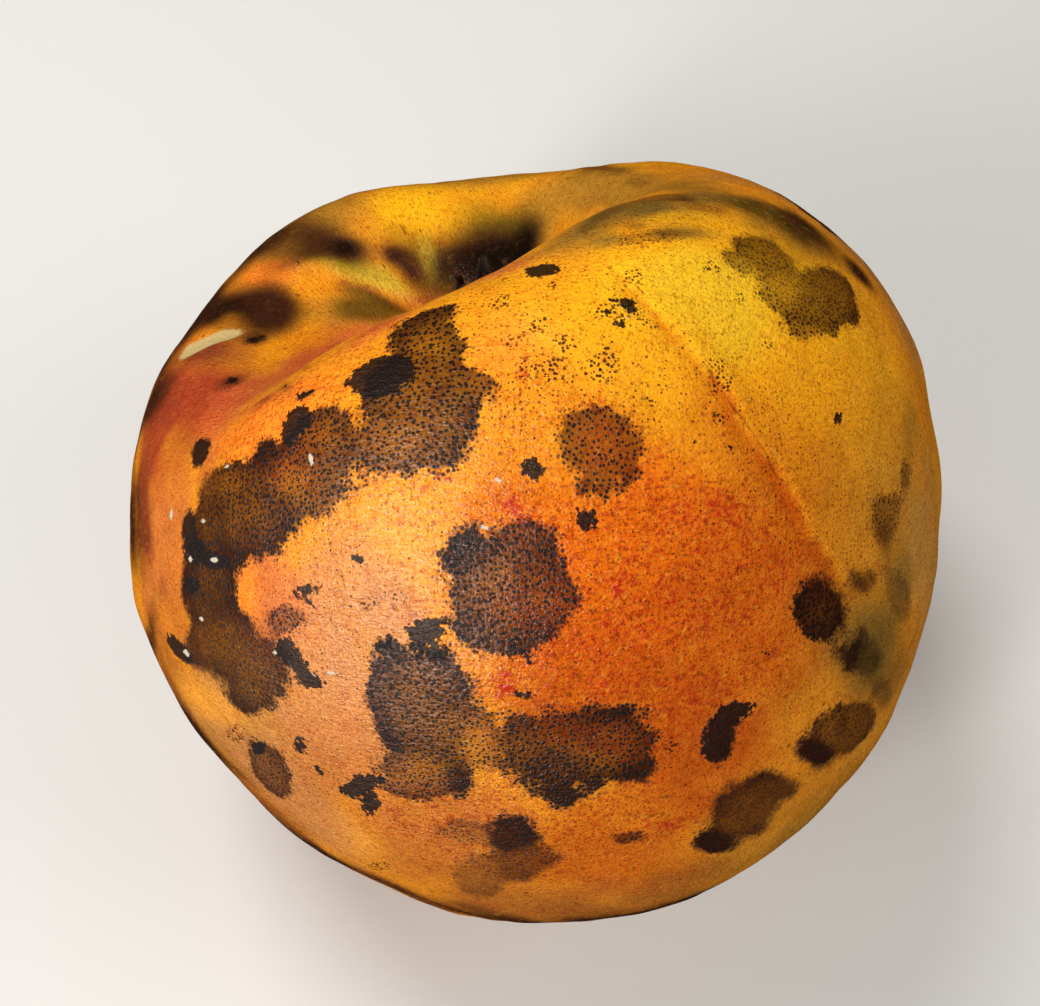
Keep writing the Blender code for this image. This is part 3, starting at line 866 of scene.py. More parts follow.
class Skin:
    """The skin's points, and the fields that marks make over them."""

    def __init__(self, mesh, view):
        self.points = places(mesh)
        self.normals = outward(mesh)
        self.view = view
        self.uneven = 0.6 * soft_lumps(self.points, 9 * MM, 11) + 0.4 * soft_lumps(self.points, 4 * MM, 12)
        corners = [Vector(point) for point in self.points]
        self.tree = BVHTree.FromPolygons(corners, [face.vertices[:] for face in mesh.polygons])

    def find(self, x, y):
        """The pixel that shows the skin, or the next one towards the fruit's middle, and the place there."""
        for share in np.linspace(0.0, 0.3, 61):
            pixel = Vector((x + (FRUIT_X - x) * share, y + (FRUIT_Y - y) * share))
            place, normal = self.view.hit(self.tree, *pixel)
            if place is not None:
                return pixel, place, normal
        raise RuntimeError(f"the pixel at {x}, {y} is off the fruit")

    def reach(self, pixel, middle, normal, across, down):
        """The way along the skin, taken as flat, that these pixels across and down show from a middle."""
        ray = self.view.ray(pixel.x + across, pixel.y + down)
        flat = (middle - self.view.eye).length * (across**2 + down**2) ** 0.5 / self.view.focal
        facing = -ray.dot(normal)
        if facing > 0.05:
            found = self.view.eye + ray * (self.view.eye - middle).dot(normal) / facing - middle
            return found * min(1.0, LONGEST_REACH * flat / found.length)
        sideways = self.view.right * across - self.view.up * down
        sideways -= normal * sideways.dot(normal)
        return sideways.normalized() * LONGEST_REACH * flat

    def nearness(self, mark):
        """Every point's distance to a mark as a share of the mark's size, and that size in metres."""
        pixel, middle, normal = self.find(mark.x, mark.y)
        if max(mark.wide, mark.high) < SMALL_MARK:
            away = self.points - np.array(middle)
            middle = Vector(self.points[np.argmin((away**2).sum(axis=1))])
        turn = radians(mark.turn)
        wide = self.reach(pixel, middle, normal, mark.wide * cos(turn), -mark.wide * sin(turn))
        high = self.reach(pixel, middle, normal, -mark.high * sin(turn), -mark.high * cos(turn))
        size = (wide.length * high.length) ** 0.5
        deep = wide.cross(high).normalized() * max(size, 4 * MM)
        basis = np.array(Matrix((wide, high, deep)).inverted())
        local = (self.points - np.array(middle)) @ basis
        return np.sqrt((local**2).sum(axis=1)), size

    def inside(self, given):
        """Millimetres to the marks' joined edge, positive inside them, and how thick they lie."""
        total = np.full(len(self.points), 1e-9)
        thick = np.zeros(len(self.points))
        for mark in given:
            near, size = self.nearness(mark)
            weight = np.exp(np.clip((1.0 - near) * size / MM, -20.0, 8.0) / MARK_BLEND)
            total += weight
            thick += weight * mark.strength
        return MARK_BLEND * np.log(total), thick / total

    def wash(self, mark):
        """A mark's strength at its middle, fading out past its edge, for every point."""
        near, _ = self.nearness(mark)
        return mark.strength * (1.0 - ease(0.25, 1.25, near + 0.14 * self.uneven))

    def shares(self, given, least):
        """The strongest of some washes at every point, and at least this much."""
        found = np.full(len(self.points), least)
        for mark in given:
            found = np.maximum(found, self.wash(mark))
        return found

    def line_field(self, line):
        """Every point's distance to a line drawn on the skin, its side of it, and how far along it is."""
        stops = [self.find(x, y)[1] for x, y in line]
        best = np.full(len(self.points), 1.0)
        side = np.zeros(len(self.points))
        along = np.zeros(len(self.points))
        for i, (start, end) in enumerate(zip(stops, stops[1:])):
            start, run = np.array(start), np.array(end - start)
            share = np.clip((self.points - start) @ run / (run @ run), 0.0, 1.0)
            away = self.points - start - share[:, None] * run
            distance = np.linalg.norm(away, axis=1)
            closer = distance < best
            turned_way = np.einsum("ij,ij->i", np.cross(run, away), self.normals)
            best = np.where(closer, distance, best)
            side = np.where(closer, -np.sign(turned_way), side)
            along = np.where(closer, (i + share) / (len(stops) - 1), along)
        return best, side, along


def seam_ends(along):
    """1 along the seam, fading to 0 at its two ends."""
    return ease(0.0, 0.10, along) * (1.0 - ease(0.90, 1.0, along))


def skin_relief(skin, seam, scar):
    """How far each point of the skin stands out, in metres."""
    relief = 0.08 * MM * soft_lumps(skin.points, 11 * MM, 3)
    relief += 0.03 * MM * soft_lumps(skin.points, 3.5 * MM, 4)
    distance, side, along = seam
    left = np.exp(-((distance / (1.6 * MM)) ** 2))
    right = -0.6 * np.exp(-((distance / (1.0 * MM)) ** 2))
    relief += 0.26 * MM * seam_ends(along) * np.where(side < 0, left, right)
    ridge, _, _ = skin.line_field(BASIN_RIDGE)
    relief += 0.9 * MM * np.exp(-((ridge / (1.5 * MM)) ** 2))
    relief -= 0.25 * MM * ease(-0.6, 0.6, scar)
    return relief


def far_distance(upright, mark, form):
    """Distance from every point to the middle of a mark given by azimuth and height."""
    azimuth = np.degrees(np.arctan2(upright[:, 1], upright[:, 0]))
    level = np.abs(upright[:, 2] - mark.height * MM)
    aside = np.abs((azimuth - mark.azimuth + 180) % 360 - 180)
    inner = np.hypot(upright[:, 0], upright[:, 1]) < 0.45 * form.cheek_radius
    nearest = np.argmin(level + aside * MM + inner)
    return np.linalg.norm(upright - upright[nearest], axis=1)


def far_inside(upright, given, form):
    """Distance in millimetres to the edge of marks on the far side, positive inside them."""
    found = np.full(len(upright), -20.0)
    for mark in given:
        found = np.maximum(found, mark.radius - far_distance(upright, mark, form) / MM)
    return found


def lay_wash(ground, colour, share):
    """Lays a colour over every point's ground colour, in that point's share."""
    ground += (np.array(linear(colour)) - ground) * share[:, None]


def paint_ground(mesh, skin, upright, looks, form):
    """The skin's ground colour: washes laid over each other, from amber to the blush, some of them painted
    shade and painted light.
    """
    ground = np.tile(np.array(linear(looks.amber)), (len(skin.points), 1))
    for name, mark in FAR_WASHES:
        near = far_distance(upright, mark, form) / (mark.radius * MM)
        lay_wash(ground, getattr(looks, name), 0.8 * (1.0 - ease(0.3, 1.2, near + 0.14 * skin.uneven)))
    for name, *rows in WASHES:
        for mark in marks(*rows):
            lay_wash(ground, getattr(looks, name), skin.wash(mark))
    write_attribute(mesh, "ground", "FLOAT_COLOR", "color", ground)


def new_material(name):
    material = bpy.data.materials.new(name)
    material.use_nodes = True
    return material, Graph(material.node_tree), material.node_tree.nodes["Principled BSDF"]


# What the skin's patterns are made of: a solid and a flat place to lie in, and noises from broad to fine
Grain = namedtuple("Grain", "place flat broad patchy grain fine speckle streaks")


def skin_grain(graph):
    place = graph.place()
    flat = graph.add("ShaderNodeUVMap", uv_map="skin_map").outputs["UV"]
    drawn_out = graph.shifted(flat, "MULTIPLY", (0.28, 1.0, 1.0))
    return Grain(
        place=place,
        flat=flat,
        broad=graph.noise(place, 5.5 * MM, 3.0, 0.55),
        patchy=graph.noise(place, 1.7 * MM, 3.0, 0.6),
        grain=graph.noise(place, 0.42 * MM, 2.0, 0.6),
        fine=graph.noise(place, 0.19 * MM, 1.0, 0.5),
        speckle=graph.noise(graph.shifted(place, "ADD", (0.3, 0.1, 0.7)), 0.6 * MM),
        streaks=graph.noise(drawn_out, 0.30 * MM, 2.0, 0.6, 0.4),
    )


def ground_colour(graph, noise, looks, crisp):
    """The washed ground with its light and dark tones, its red and pale grains, its mottles and its spots."""
    flushed = graph.attribute("flushed")
    tone = graph.scaled(noise.broad, 0.34, 0.43)
    tone = graph.scaled(noise.fine, 0.66, tone)
    tone = graph.scaled(noise.patchy, 0.24, tone)
    colour = graph.mix(1.0, graph.attribute("ground", "Color"), tone, "MULTIPLY")

    red_grains = graph.times(graph.step(0.46, 0.64, noise.grain), graph.times(flushed, crisp))
    red_share = graph.scaled(graph.step(0.42, 0.60, noise.patchy), 0.50, 0.25)
    colour = graph.paint(colour, linear(looks.blush), red_grains, red_share)
    pale_grains = graph.step(0.52, 0.74, noise.speckle)
    colour = graph.paint(colour, linear(looks.glow), pale_grains, graph.times(crisp, 0.16))

    specks = graph.scattered(noise.flat, MOTTLE_SPACING, 0.60, 0.08, 0.30, noise.fine)
    blots = graph.step(0.56, 0.68, graph.noise(noise.place, 0.34 * MM, 3.0, 0.65))
    mottles = graph.math("MAXIMUM", specks, blots)
    mottle_share = graph.scaled(flushed, 0.36, 0.30)
    colour = graph.paint(colour, linear(looks.freckle), mottles, mottle_share, "DARKEN")
    browned = graph.step(0.50, 0.66, graph.noise(noise.place, 0.95 * MM, 4.0, 0.7))
    scorched = graph.mix(1.0, colour, linear(looks.scorch), "MULTIPLY")
    colour = graph.paint(colour, scorched, browned, graph.scaled(flushed, 0.55, 0.30))

    spot_share = graph.scaled(flushed, 0.45, 0.20)
    spots = graph.scattered(noise.flat, SPOT_SPACING, spot_share, 0.10, 0.28, noise.fine)
    colour = graph.paint(colour, linear(looks.freckle), spots, 0.62, "DARKEN")
    large_share = graph.times(flushed, 0.5)
    large_spots = graph.scattered(noise.flat, LARGE_SPOT_SPACING, large_share, 0.06, 0.19, noise.patchy)
    colour = graph.paint(colour, linear(looks.freckle), large_spots, 0.55, "DARKEN")

    rosy = graph.ragged(graph.attribute("rosy"), (noise.patchy, 1.8), (noise.grain, 1.2))
    rosy_share = graph.scaled(graph.step(0.40, 0.60, noise.grain), 0.60, 0.25)
    return graph.paint(colour, linear(looks.blush), graph.step(-0.3, 0.9, rosy), rosy_share)


def sooty_colour(graph, noise, looks, colour, misty, crisp):
    """Sooty blotches over the colour: a veil that is thicker along its rim, and black dots in it."""
    soot = graph.attribute("soot")
    soot = graph.ragged(soot, (noise.broad, 2.4), (noise.patchy, 2.4), (noise.grain, 0.8))
    veil = graph.step(graph.scaled(misty, -0.8, -0.32), graph.scaled(misty, 0.5, 0.38), soot)
    rim = graph.times(graph.times(veil, crisp), graph.step(2.2, 0.3, soot))
    thickness = graph.ragged(graph.attribute("thickness"), (noise.patchy, 0.34), (noise.broad, 0.30))
    thickness = graph.scaled(rim, 0.10, thickness)
    dimmed = graph.mix(1.0, colour, linear(looks.soot), "MULTIPLY")
    veil_tone = graph.mix(graph.step(0.60, 1.05, thickness), dimmed, linear(looks.crust))
    veil_share = graph.times(veil, graph.step(-0.15, 1.00, thickness), clamp=True)
    colour = graph.mix(veil_share, colour, veil_tone)

    distance, size, _ = graph.cells(noise.flat, SOOT_DOT_SPACING, 0.90)
    distance = graph.ragged(distance, (noise.grain, 0.50), (noise.fine, 0.25))
    edge = graph.scaled(size, 0.12, graph.scaled(rim, 0.03, 0.100))
    edge = graph.scaled(graph.step(0.35, 1.0, thickness), 0.14, edge)
    dot = graph.step(graph.math("ADD", edge, 0.09), edge, distance)
    dot = graph.times(dot, graph.step(-0.7, 0.0, soot))
    colour = graph.paint(colour, linear(looks.scab), dot, graph.scaled(misty, -0.62, 0.94))
    return colour, veil, dot


def freckled_colour(graph, noise, looks, colour):
    """Scattered freckles and clusters of black specks over the colour."""
    freckled = graph.attribute("freckled")
    freckles = graph.scattered(noise.flat, FRECKLE_SPACING, freckled, 0.07, 0.25, noise.grain)
    paler = graph.step(0.45, 0.60, noise.patchy)
    freckle_tone = graph.mix(paler, linear(looks.scab), linear(looks.freckle))
    colour = graph.paint(colour, freckle_tone, freckles, 0.88)
    specks = graph.scattered(noise.flat, CLUSTER_SPACING, 0.85, 0.25, 0.62, noise.grain)
    cluster = graph.ragged(graph.attribute("cluster"), (noise.patchy, 0.9), (noise.grain, 0.8))
    specks = graph.times(specks, graph.step(-0.20, 0.12, cluster))
    return graph.paint(colour, linear(looks.scab), specks, 0.92)


def seam_colour(graph, noise, looks, colour):
    """The seam's thin dark line over the colour, partly painted shade at its step, and painted shade on the
    skin beside it.
    """
    # Painted shade beside the seam's step.
    beside = graph.attribute("seam_shade")
    patches = graph.times(beside, graph.step(0.25, 0.65, noise.patchy))
    seam_shaded = graph.mix(1.0, colour, linear(looks.scorch), "MULTIPLY")
    colour = graph.mix(graph.scaled(patches, 0.7, graph.times(beside, 0.7), clamp=True), colour, seam_shaded)
    seam = graph.ragged(graph.attribute("seam"), (noise.patchy, 0.3), (noise.grain, 0.2))
    return graph.paint(colour, linear(looks.freckle), graph.step(0.20, 0.05, seam), 0.65, "DARKEN")


def skin_material(looks):
    """Waxy skin: a washed, mottled ground with painted shade and light in it, sooty blotches, freckles, the
    seam with painted shade beside it, scabs, a scar and flecks that are partly painted glints.
    """
    material, graph, shader = new_material("apple_skin")
    noise = skin_grain(graph)
    misty = graph.attribute("misty")
    crisp = graph.scaled(misty, -0.9, 1.0)
    colour = ground_colour(graph, noise, looks, crisp)
    colour, veil, dot = sooty_colour(graph, noise, looks, colour, misty, crisp)
    colour = freckled_colour(graph, noise, looks, colour)
    colour = seam_colour(graph, noise, looks, colour)

    scab = graph.ragged(graph.attribute("scab"), (noise.patchy, 1.0), (noise.grain, 1.5))
    dead = graph.step(graph.scaled(misty, -0.35, -0.10), graph.scaled(misty, 0.25, 0.05), scab)
    scab_tone = graph.mix(graph.step(0.60, 0.80, noise.speckle), linear(looks.scab), linear(looks.crust))
    colour = graph.paint(colour, scab_tone, dead, 0.96)
    scar = graph.ragged(graph.attribute("scar"), (noise.patchy, 0.7), (noise.grain, 0.3))
    scar = graph.step(-0.2, 0.35, scar)
    colour = graph.mix(scar, colour, linear(looks.cork))
    # White flecks, partly painted glints.
    fleck_and_glint = graph.ragged(graph.attribute("fleck_and_glint"), (noise.grain, 0.6))
    fleck_and_glint = graph.step(-0.04, 0.12, fleck_and_glint)
    colour = graph.paint(colour, linear(looks.fleck_and_glint), fleck_and_glint, 0.92)
    graph.feed(shader.inputs["Base Color"], colour)

    rough = graph.scaled(veil, 0.06, graph.scaled(noise.patchy, 0.14, 0.19))
    rough = graph.scaled(dead, 0.25, graph.scaled(scar, 0.2, rough))
    rough = graph.scaled(dot, 0.25, rough, clamp=True)
    graph.feed(shader.inputs["Roughness"], rough)

    height = graph.times(noise.grain, 0.60)
    bumps = (
        (noise.streaks, 1.00),
        (noise.fine, 0.70),
        (noise.patchy, 0.30),
        (dot, 0.12),
        (graph.times(dead, noise.speckle), 0.70),
        (fleck_and_glint, 0.40),
    )
    for field, share in bumps:
        height = graph.scaled(field, share, height)
    bump = graph.add("ShaderNodeBump", {"Height": height, "Distance": 0.14 * MM, "Strength": 1.0})
    graph.feed(shader.inputs["Normal"], bump.outputs[0])
    shader.inputs["Specular IOR Level"].default_value = 0.5
    return material


def dry_fibres():
    """A node group: colour and height of dry fibres, which run the way the fibre_place attribute says."""
    group = bpy.data.node_groups.new("dry_fibres", "ShaderNodeTree")
    for name in ("Dark", "Pale"):
        group.interface.new_socket(name, in_out="INPUT", socket_type="NodeSocketColor")
    group.interface.new_socket("Fineness", in_out="INPUT", socket_type="NodeSocketFloat")
    group.interface.new_socket("Colour", in_out="OUTPUT", socket_type="NodeSocketColor")
    group.interface.new_socket("Height", in_out="OUTPUT", socket_type="NodeSocketFloat")
    graph = Graph(group)
    given = graph.add("NodeGroupInput").outputs
    result = graph.add("NodeGroupOutput").inputs
    along = graph.add("ShaderNodeAttribute", attribute_name="fibre_place").outputs["Vector"]
    fibres = graph.add("ShaderNodeTexNoise", {"Vector": along, "Scale": given["Fineness"], "Detail": 3.0})
    spots = graph.noise(graph.place(), 0.9 * MM, 3.0, 0.6)
    streaks = graph.step(0.40, 0.66, fibres.outputs["Fac"])
    colour = graph.mix(streaks, given["Dark"], given["Pale"])
    colour = graph.paint(colour, given["Dark"], graph.step(0.5, 0.7, spots), 0.6)
    graph.feed(result["Colour"], colour)
    graph.feed(result["Height"], graph.scaled(streaks, 0.7, graph.times(spots, 0.3)))
    return group


def fibre_material(name, dark, pale, fineness):
    """A dry, dull material of fine fibres."""
    material, graph, shader = new_material(name)
    group = bpy.data.node_groups.get("dry_fibres") or dry_fibres()
    fibres = graph.add("ShaderNodeGroup", node_tree=group)
    fibres.inputs["Dark"].default_value = linear(dark)
    fibres.inputs["Pale"].default_value = linear(pale)
    fibres.inputs["Fineness"].default_value = fineness
    graph.feed(shader.inputs["Base Color"], fibres.outputs["Colour"])
    relief = {"Height": fibres.outputs["Height"], "Distance": 0.15 * MM, "Strength": 0.9}
    graph.feed(shader.inputs["Normal"], graph.add("ShaderNodeBump", relief).outputs[0])
    shader.inputs["Roughness"].default_value = 0.82
    return material


def lay_skin_map(mesh, middle, towards):
    """Lays a map in metres over the skin, in six patches, so that flat patterns aren't stretched much."""
    right = Vector((1.0, 0.0, 0.0))
    front = towards.normalized()
    up = front.cross(right)
    axes = np.array((right, up, front))
    local = (places(mesh) - np.array(middle)) @ axes.T
    local /= np.linalg.norm(local, axis=1)[:, None]
    corners = np.empty(len(mesh.loops), dtype=np.int32)
    mesh.loops.foreach_get("vertex_index", corners)
    sizes = np.empty(len(mesh.polygons), dtype=np.int32)
    mesh.polygons.foreach_get("loop_total", sizes)
    face = np.repeat(np.arange(len(sizes)), sizes)
    middles = np.zeros((len(sizes), 3))
    np.add.at(middles, face, local[corners])
    middles /= np.linalg.norm(middles, axis=1)[:, None]
    patch = np.where(np.abs(middles[:, 0]) > np.abs(middles[:, 1]), 0, 1)
    patch = np.where(np.abs(middles[:, 2]) > CAP_EDGE, 2, patch)
    sign = np.where(np.take_along_axis(middles, patch[:, None], axis=1)[:, 0] > 0.0, 1, -1)
    found = np.empty((len(corners), 2))
    for axis in range(3):
        for way in (1, -1):
            here = ((patch == axis) & (sign == way))[face]
            seen = local[corners[here]]
            spread = MAP_RADIUS * np.sqrt(2.0 / (1.0 + way * seen[:, axis]))
            shift = (axis * 2 + (way > 0)) * 4 * MAP_RADIUS
            found[here, 0] = seen[:, (axis + 1) % 3] * spread + shift
            found[here, 1] = seen[:, (axis + 2) % 3] * spread
    layer = mesh.uv_layers.new(name="skin_map")
    layer.data.foreach_set("uv", found.ravel())


def add_object(name, mesh, material, node):
    """A finished piece that stands for a node of the frame."""
    mesh.materials.append(material)
    mesh.shade_smooth()
    piece = bpy.data.objects.new(name, mesh)
    bpy.context.scene.collection.objects.link(piece)
    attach(piece, "root")
    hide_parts(node)
    return piece


def write_skin_fields(mesh, skin, upright, form, seam, scar):
    """Writes where the skin's marks lie into the mesh, for its material to read."""
    soot, thickness = skin.inside(SOOTY_MARKS)
    far_soot = far_inside(upright, FAR_MARKS, form)
    distance, side, along = seam
    ends = seam_ends(along)
    reach = (0.7 + 1.7 * ease(0.35, 0.60, along)) * MM
    fields = {
        "soot": np.maximum(soot, far_soot),
        "thickness": np.where(far_soot > soot, FAR_THICKNESS, thickness),
        "scab": np.maximum(skin.inside(SCAB_MARKS)[0], far_inside(upright, FAR_SCABS, form)),
        "rosy": skin.inside(RED_MARKS)[0],
        "scar": scar,
        "fleck_and_glint": skin.inside(FLECK_AND_GLINT_MARKS)[0],
        # The seam's field, and the painted shade beside its step
        "seam": distance / MM + 3.0 * (1.0 - ends),
        "seam_shade": np.where(side > 0.0, np.exp(-distance / reach) * ends, 0.0),
        "cluster": skin.inside(CLUSTER_MARKS)[0],
        "misty": skin.shares(MISTY, 0.0),
        "freckled": skin.shares(FRECKLED, 0.03),
        "flushed": skin.shares(FLUSHED, 0.25),
    }
    for name, values in fields.items():
        write_field(mesh, name, values)


def make_skin(form, looks, studio):
    """The whole skin: its form, its relief, the fields that place its marks, and its material."""
    mesh = as_mesh(turned(skin_outline(form), form.round_steps), "apple_skin")
    set_places(mesh, grown(places(mesh), form))
    upright = places(mesh)
    points, middle = laid_down(upright, form)
    set_places(mesh, points)
    view = PhotoView(studio, middle)
    skin = Skin(mesh, view)
    seam = skin.line_field(SEAM)
    scar, _ = skin.inside(SCAR_MARKS)
    points = points + skin.normals * skin_relief(skin, seam, scar)[:, None]
    points[:, 2] = np.maximum(points[:, 2], 0.0)
    set_places(mesh, fit_to_box(points))
    write_skin_fields(mesh, skin, upright, form, seam, scar)
    paint_ground(mesh, skin, upright, looks, form)
    lay_skin_map(mesh, middle, view.towards)
    return add_object("apple_skin", mesh, skin_material(looks), "fruit")


def draw_tube(shape, path, radii, sides):
    """Draws a closed tube along a path, one extruded ring after another, and returns its last face."""
    ring = bmesh.ops.create_circle(shape, cap_ends=True, segments=sides, radius=radii[0])["verts"]
    aim = Vector((0.0, 0.0, 1.0)).rotation_difference(path[1] - path[0])
    bmesh.ops.rotate(shape, verts=ring, cent=Vector(), matrix=aim.to_matrix())
    bmesh.ops.translate(shape, verts=ring, vec=path[0])
    face = next(face for face in ring[0].link_faces if all(corner in ring for corner in face.verts))
    for i in range(1, len(path)):
        end = bmesh.ops.extrude_discrete_faces(shape, faces=[face])["faces"][0]
        ahead = path[min(i + 1, len(path) - 1)] - path[i - 1]
        behind = path[i] - path[max(i - 2, 0)]
        turn = behind.rotation_difference(ahead).to_matrix()
        middle = end.calc_center_median()
        for vertex in end.verts:
            vertex.co = path[i] + turn @ ((vertex.co - middle) * (radii[i] / radii[i - 1]))
        face = end
    return face


def make_stalk(form, looks):
    """A short woody stalk, a little bent, ridged lengthways and frayed at its broken end."""
    shape = bmesh.new()
    path, radii = [], []
    for i in range(STALK_PARTS + 1):
        share = i / STALK_PARTS
        path.append(Vector((STALK_BEND * share * share, 0.0, -STALK_LENGTH * share)))
        swell = 1.0 + (STALK_KNOB - 1.0) * float(ease(0.6, 1.0, share)) + 0.05 * sin(9.0 * share + 1.0)
        radii.append(STALK_RADIUS * swell * 0.97)
    end = draw_tube(shape, path, radii, 20)
    bmesh.ops.inset_region(shape, faces=[end], thickness=0.35 * MM, use_even_offset=True)
    bmesh.ops.translate(shape, verts=end.verts, vec=Vector((0.0, 0.0, 0.5 * MM)))
    for vertex in shape.verts:
        along = vertex.co.z / STALK_LENGTH
        azimuth = atan2(vertex.co.y, vertex.co.x - STALK_BEND * along**2)
        ridge = STALK_RIDGE * cos(7 * azimuth + 5.4 * along)
        vertex.co += Vector((cos(azimuth), sin(azimuth), 0.0)) * ridge
        if vertex.co.z < -STALK_LENGTH + 0.2 * MM:
            vertex.co.z += 0.35 * MM * abs(sin(3.3 * azimuth))
    bmesh.ops.recalc_face_normals(shape, faces=shape.faces)
    material = fibre_material("stalk_wood", looks.bark, looks.wood, 1 / (0.5 * MM))
    lift = Vector((0.0, 0.0, STALK_SUNK - form.cavity_roof))
    return add_dry_piece(shape, "apple_stalk", 0.12, lift, form, material, "stalk")


def draw_sepal(shape, number):
    """One thin dry sepal: a grid bent up out of the calyx, cupped, twisted and curled at its tip."""
    random = np.random.default_rng(20 + number)
    grid = bmesh.ops.create_grid(shape, x_segments=6, y_segments=16, size=0.5)["verts"]
    turn = 2 * pi * number / SEPAL_COUNT + radians(18) + random.uniform(-0.08, 0.08)
    lean = random.uniform(-0.25, 0.35) * MM
    curl = random.uniform(0.3, 1.1) * MM
    twist = random.uniform(-0.35, 0.35)
    outwards = Vector((cos(turn), sin(turn), 0.0))
    across = Vector((-sin(turn), cos(turn), 0.0))
    for vertex in grid:
        share = vertex.co.y + 0.5
        side = vertex.co.x * 2
        radius = np.interp(share, SEPAL_SHARES, SEPAL_RADII) * MM + lean * share
        radius += curl * max(0.0, share - 0.7) * 2
        height = np.interp(share, SEPAL_SHARES, SEPAL_HEIGHTS) * MM
        half = np.interp(share, SEPAL_SHARES, SEPAL_WIDTHS) * MM * (1 + 0.06 * sin(17 * share + number))
        cupped = 0.35 * MM * side * side * (1.0 - 0.5 * share)
        wrinkle = 0.07 * MM * sin(5 * side + 9 * share + number)
        aside = side * half + twist * share * share * 1.2 * MM
        vertex.co = outwards * (radius - cupped + wrinkle) + across * aside + Vector((0.0, 0.0, height))


def draw_threads(shape):
    """The dry stamens' threads, each with a thicker tip, in a circle inside the sepals."""
    random = np.random.default_rng(7)
    for number in range(THREAD_COUNT):
        turn = 2 * pi * number / THREAD_COUNT + random.uniform(-0.15, 0.15)
        out = Vector((cos(turn), sin(turn), 0.0))
        tall = random.uniform(2.2, 4.2) * MM
        bend = random.uniform(-0.6, 0.5) * MM
        path = []
        for i in range(THREAD_PARTS + 1):
            share = i / THREAD_PARTS
            height = THREAD_FOOT + tall * share
            path.append(out * (THREAD_CIRCLE + bend * share**2) + Vector((0.0, 0.0, height)))
        draw_tube(shape, path, [THREAD_RADIUS] * THREAD_PARTS + [THREAD_TIP_RADIUS], 6)


def draw_calyx_base(shape):
    """The low ring that the sepals stand on, with a dished top."""
    base = bmesh.ops.create_cone(
        shape,
        cap_ends=True,
        segments=40,
        radius1=CALYX_RADIUS - 0.2 * MM,
        radius2=CALYX_RADIUS,
        depth=CALYX_BASE,
        matrix=Matrix.Translation((0.0, 0.0, CALYX_BASE / 2)),
    )["verts"]
    top = [face for face in {face for corner in base for face in corner.link_faces} if face.normal.z > 0.9]
    bmesh.ops.inset_region(shape, faces=top, thickness=DISH_EDGE, use_even_offset=True)
    rim = list({corner for face in top for corner in face.verts})
    bmesh.ops.translate(shape, verts=rim, vec=(0.0, 0.0, -DISH_DEPTH))
    bmesh.ops.inset_region(shape, faces=top, thickness=1.0 * MM, use_even_offset=True)


def make_calyx(form, looks):
    """The dry calyx: a low ring, five curled sepals that close over it, and the stamens' threads inside."""
    shape = bmesh.new()
    for number in range(SEPAL_COUNT):
        draw_sepal(shape, number)
    bmesh.ops.recalc_face_normals(shape, faces=shape.faces)
    bmesh.ops.solidify(shape, geom=shape.faces[:], thickness=SEPAL_THICKNESS)
    draw_threads(shape)
    draw_calyx_base(shape)
    bmesh.ops.recalc_face_normals(shape, faces=shape.faces)
    material = fibre_material("calyx_dry", looks.scab, looks.sepal, 1 / (0.4 * MM))
    lift = BASIN_OFFSET + Vector((0.0, 0.0, form.basin_floor - CALYX_SINK))
    return add_dry_piece(shape, "apple_calyx", 0.15, lift, form, material, "calyx")


def add_dry_piece(shape, name, drawn_out, shift, form, material, node):
    """Puts a dry piece in its place on the fruit. Its fibres run lengthways, drawn out by this share."""
    mesh = as_mesh(shape, name)
    points = places(mesh)
    write_attribute(mesh, "fibre_place", "FLOAT_VECTOR", "vector", points * np.array((1.0, 1.0, drawn_out)))
    set_places(mesh, laid(points + np.array(shift), form))
    return add_object(name, mesh, material, node)


def make_stage(form, studio):
    """A plain pale floor, soft lights, and the camera at the photograph's angle."""
    shape = bmesh.new()
    bmesh.ops.create_grid(shape, x_segments=1, y_segments=1, size=FLOOR_REACH)
    bmesh.ops.translate(shape, verts=shape.verts, vec=(0.0, 0.0, -FLOOR_GAP))
    floor = bpy.data.objects.new("floor", as_mesh(shape, "floor"))
    bpy.context.scene.collection.objects.link(floor)
    material, _, shader = new_material("floor_paint")
    shader.inputs["Base Color"].default_value = linear(studio.floor)
    shader.inputs["Roughness"].default_value = 0.7
    floor.data.materials.append(material)
    floor.visible_glossy = False
    middle = fruit_middle(form)
    for light in LIGHTS:
        add_light(light, middle)
    add_air(studio)
    bpy.context.scene.view_settings.view_transform = "Standard"
    add_camera(PhotoView(studio, middle), studio)


def add_light(light, middle):
    data = bpy.data.lights.new(light.name, "AREA")
    data.shape = "ELLIPSE"
    data.size = light.wide
    data.size_y = light.high
    data.energy = light.power
    data.color = light.tint
    lamp = bpy.data.objects.new(light.name, data)
    lamp.visible_glossy = light.mirrored
    bpy.context.scene.collection.objects.link(lamp)
    towards = Vector(light.towards).normalized()
    lamp.location = middle + towards * light.distance
    lamp.rotation_euler = towards.to_track_quat("Z", "Y").to_euler()


def add_air(studio):
    """Even light from all round, which the skin doesn't mirror."""
    world = bpy.data.worlds.new("studio_air")
    world.use_nodes = True
    air = world.node_tree.nodes["Background"]
    air.inputs["Color"].default_value = linear(studio.air)
    air.inputs["Strength"].default_value = studio.air_strength
    world.cycles_visibility.glossy = False
    bpy.context.scene.world = world


def add_camera(view, studio):
    data = bpy.data.cameras.new("camera")
    data.sensor_fit = "HORIZONTAL"
    data.sensor_width = SENSOR_WIDTH
    data.lens = studio.camera_lens
    data.clip_start = 0.01
    camera = bpy.data.objects.new("camera", data)
    bpy.context.scene.collection.objects.link(camera)
    camera.location = view.eye
    camera.rotation_euler = view.towards.to_track_quat("Z", "Y").to_euler()
    bpy.context.scene.camera = camera


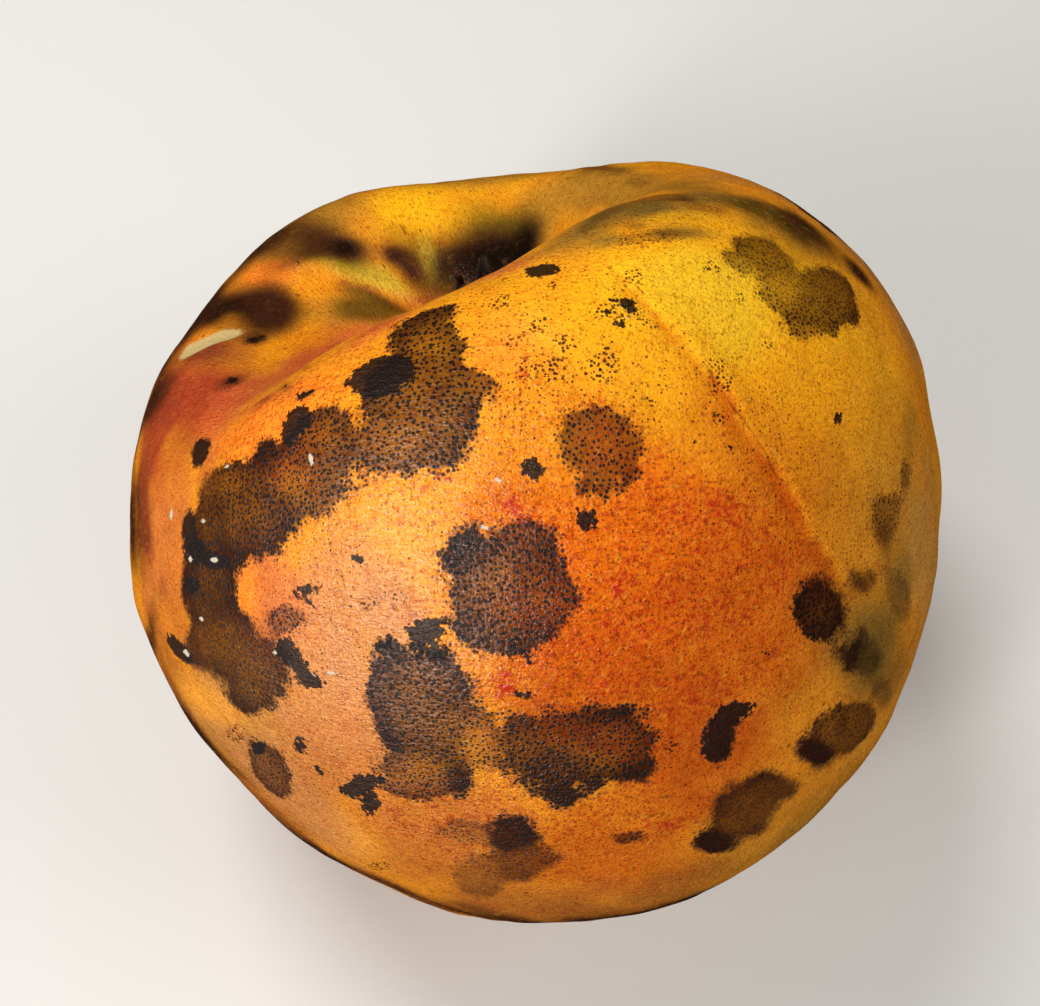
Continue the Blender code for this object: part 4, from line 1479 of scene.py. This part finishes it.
class APPLE_OT_add_skin(bpy.types.Operator):
    """Model the fruit's skin and paint its marks"""

    bl_idname = "apple.add_skin"
    bl_label = "Add Skin"

    def execute(self, context):
        scene = context.scene
        make_skin(scene.apple_form, scene.apple_looks, scene.apple_studio)
        return {"FINISHED"}


class APPLE_OT_add_calyx(bpy.types.Operator):
    """Model the dry calyx in the basin"""

    bl_idname = "apple.add_calyx"
    bl_label = "Add Calyx"

    def execute(self, context):
        make_calyx(context.scene.apple_form, context.scene.apple_looks)
        return {"FINISHED"}


class APPLE_OT_add_stalk(bpy.types.Operator):
    """Model the stalk in its cavity"""

    bl_idname = "apple.add_stalk"
    bl_label = "Add Stalk"

    def execute(self, context):
        make_stalk(context.scene.apple_form, context.scene.apple_looks)
        return {"FINISHED"}


class APPLE_OT_set_stage(bpy.types.Operator):
    """Set up the floor, the lights and the camera"""

    bl_idname = "apple.set_stage"
    bl_label = "Set Stage"

    def execute(self, context):
        make_stage(context.scene.apple_form, context.scene.apple_studio)
        return {"FINISHED"}


OPERATORS = (APPLE_OT_add_skin, APPLE_OT_add_calyx, APPLE_OT_add_stalk, APPLE_OT_set_stage)


class VIEW3D_PT_apple(bpy.types.Panel):
    """The steps that build the apple, and its sizes and colours"""

    bl_label = "Heirloom Apple"
    bl_space_type = "VIEW_3D"
    bl_region_type = "UI"
    bl_category = "Apple"

    def draw(self, context):
        for operator in OPERATORS:
            self.layout.operator(operator.bl_idname)
        for group in (context.scene.apple_form, context.scene.apple_looks, context.scene.apple_studio):
            box = self.layout.box()
            for name in group.__annotations__:
                box.prop(group, name)


CLASSES = (AppleForm, AppleLooks, AppleStudio, *OPERATORS, VIEW3D_PT_apple)


def register():
    for kind in CLASSES:
        bpy.utils.register_class(kind)
    bpy.types.Scene.apple_form = PointerProperty(type=AppleForm)
    bpy.types.Scene.apple_looks = PointerProperty(type=AppleLooks)
    bpy.types.Scene.apple_studio = PointerProperty(type=AppleStudio)


def unregister():
    del bpy.types.Scene.apple_studio
    del bpy.types.Scene.apple_looks
    del bpy.types.Scene.apple_form
    for kind in reversed(CLASSES):
        bpy.utils.unregister_class(kind)


def main():
    register()
    bpy.ops.apple.add_skin()
    bpy.ops.apple.add_calyx()
    bpy.ops.apple.add_stalk()
    bpy.ops.apple.set_stage()


if __name__ == "__main__":
    main()
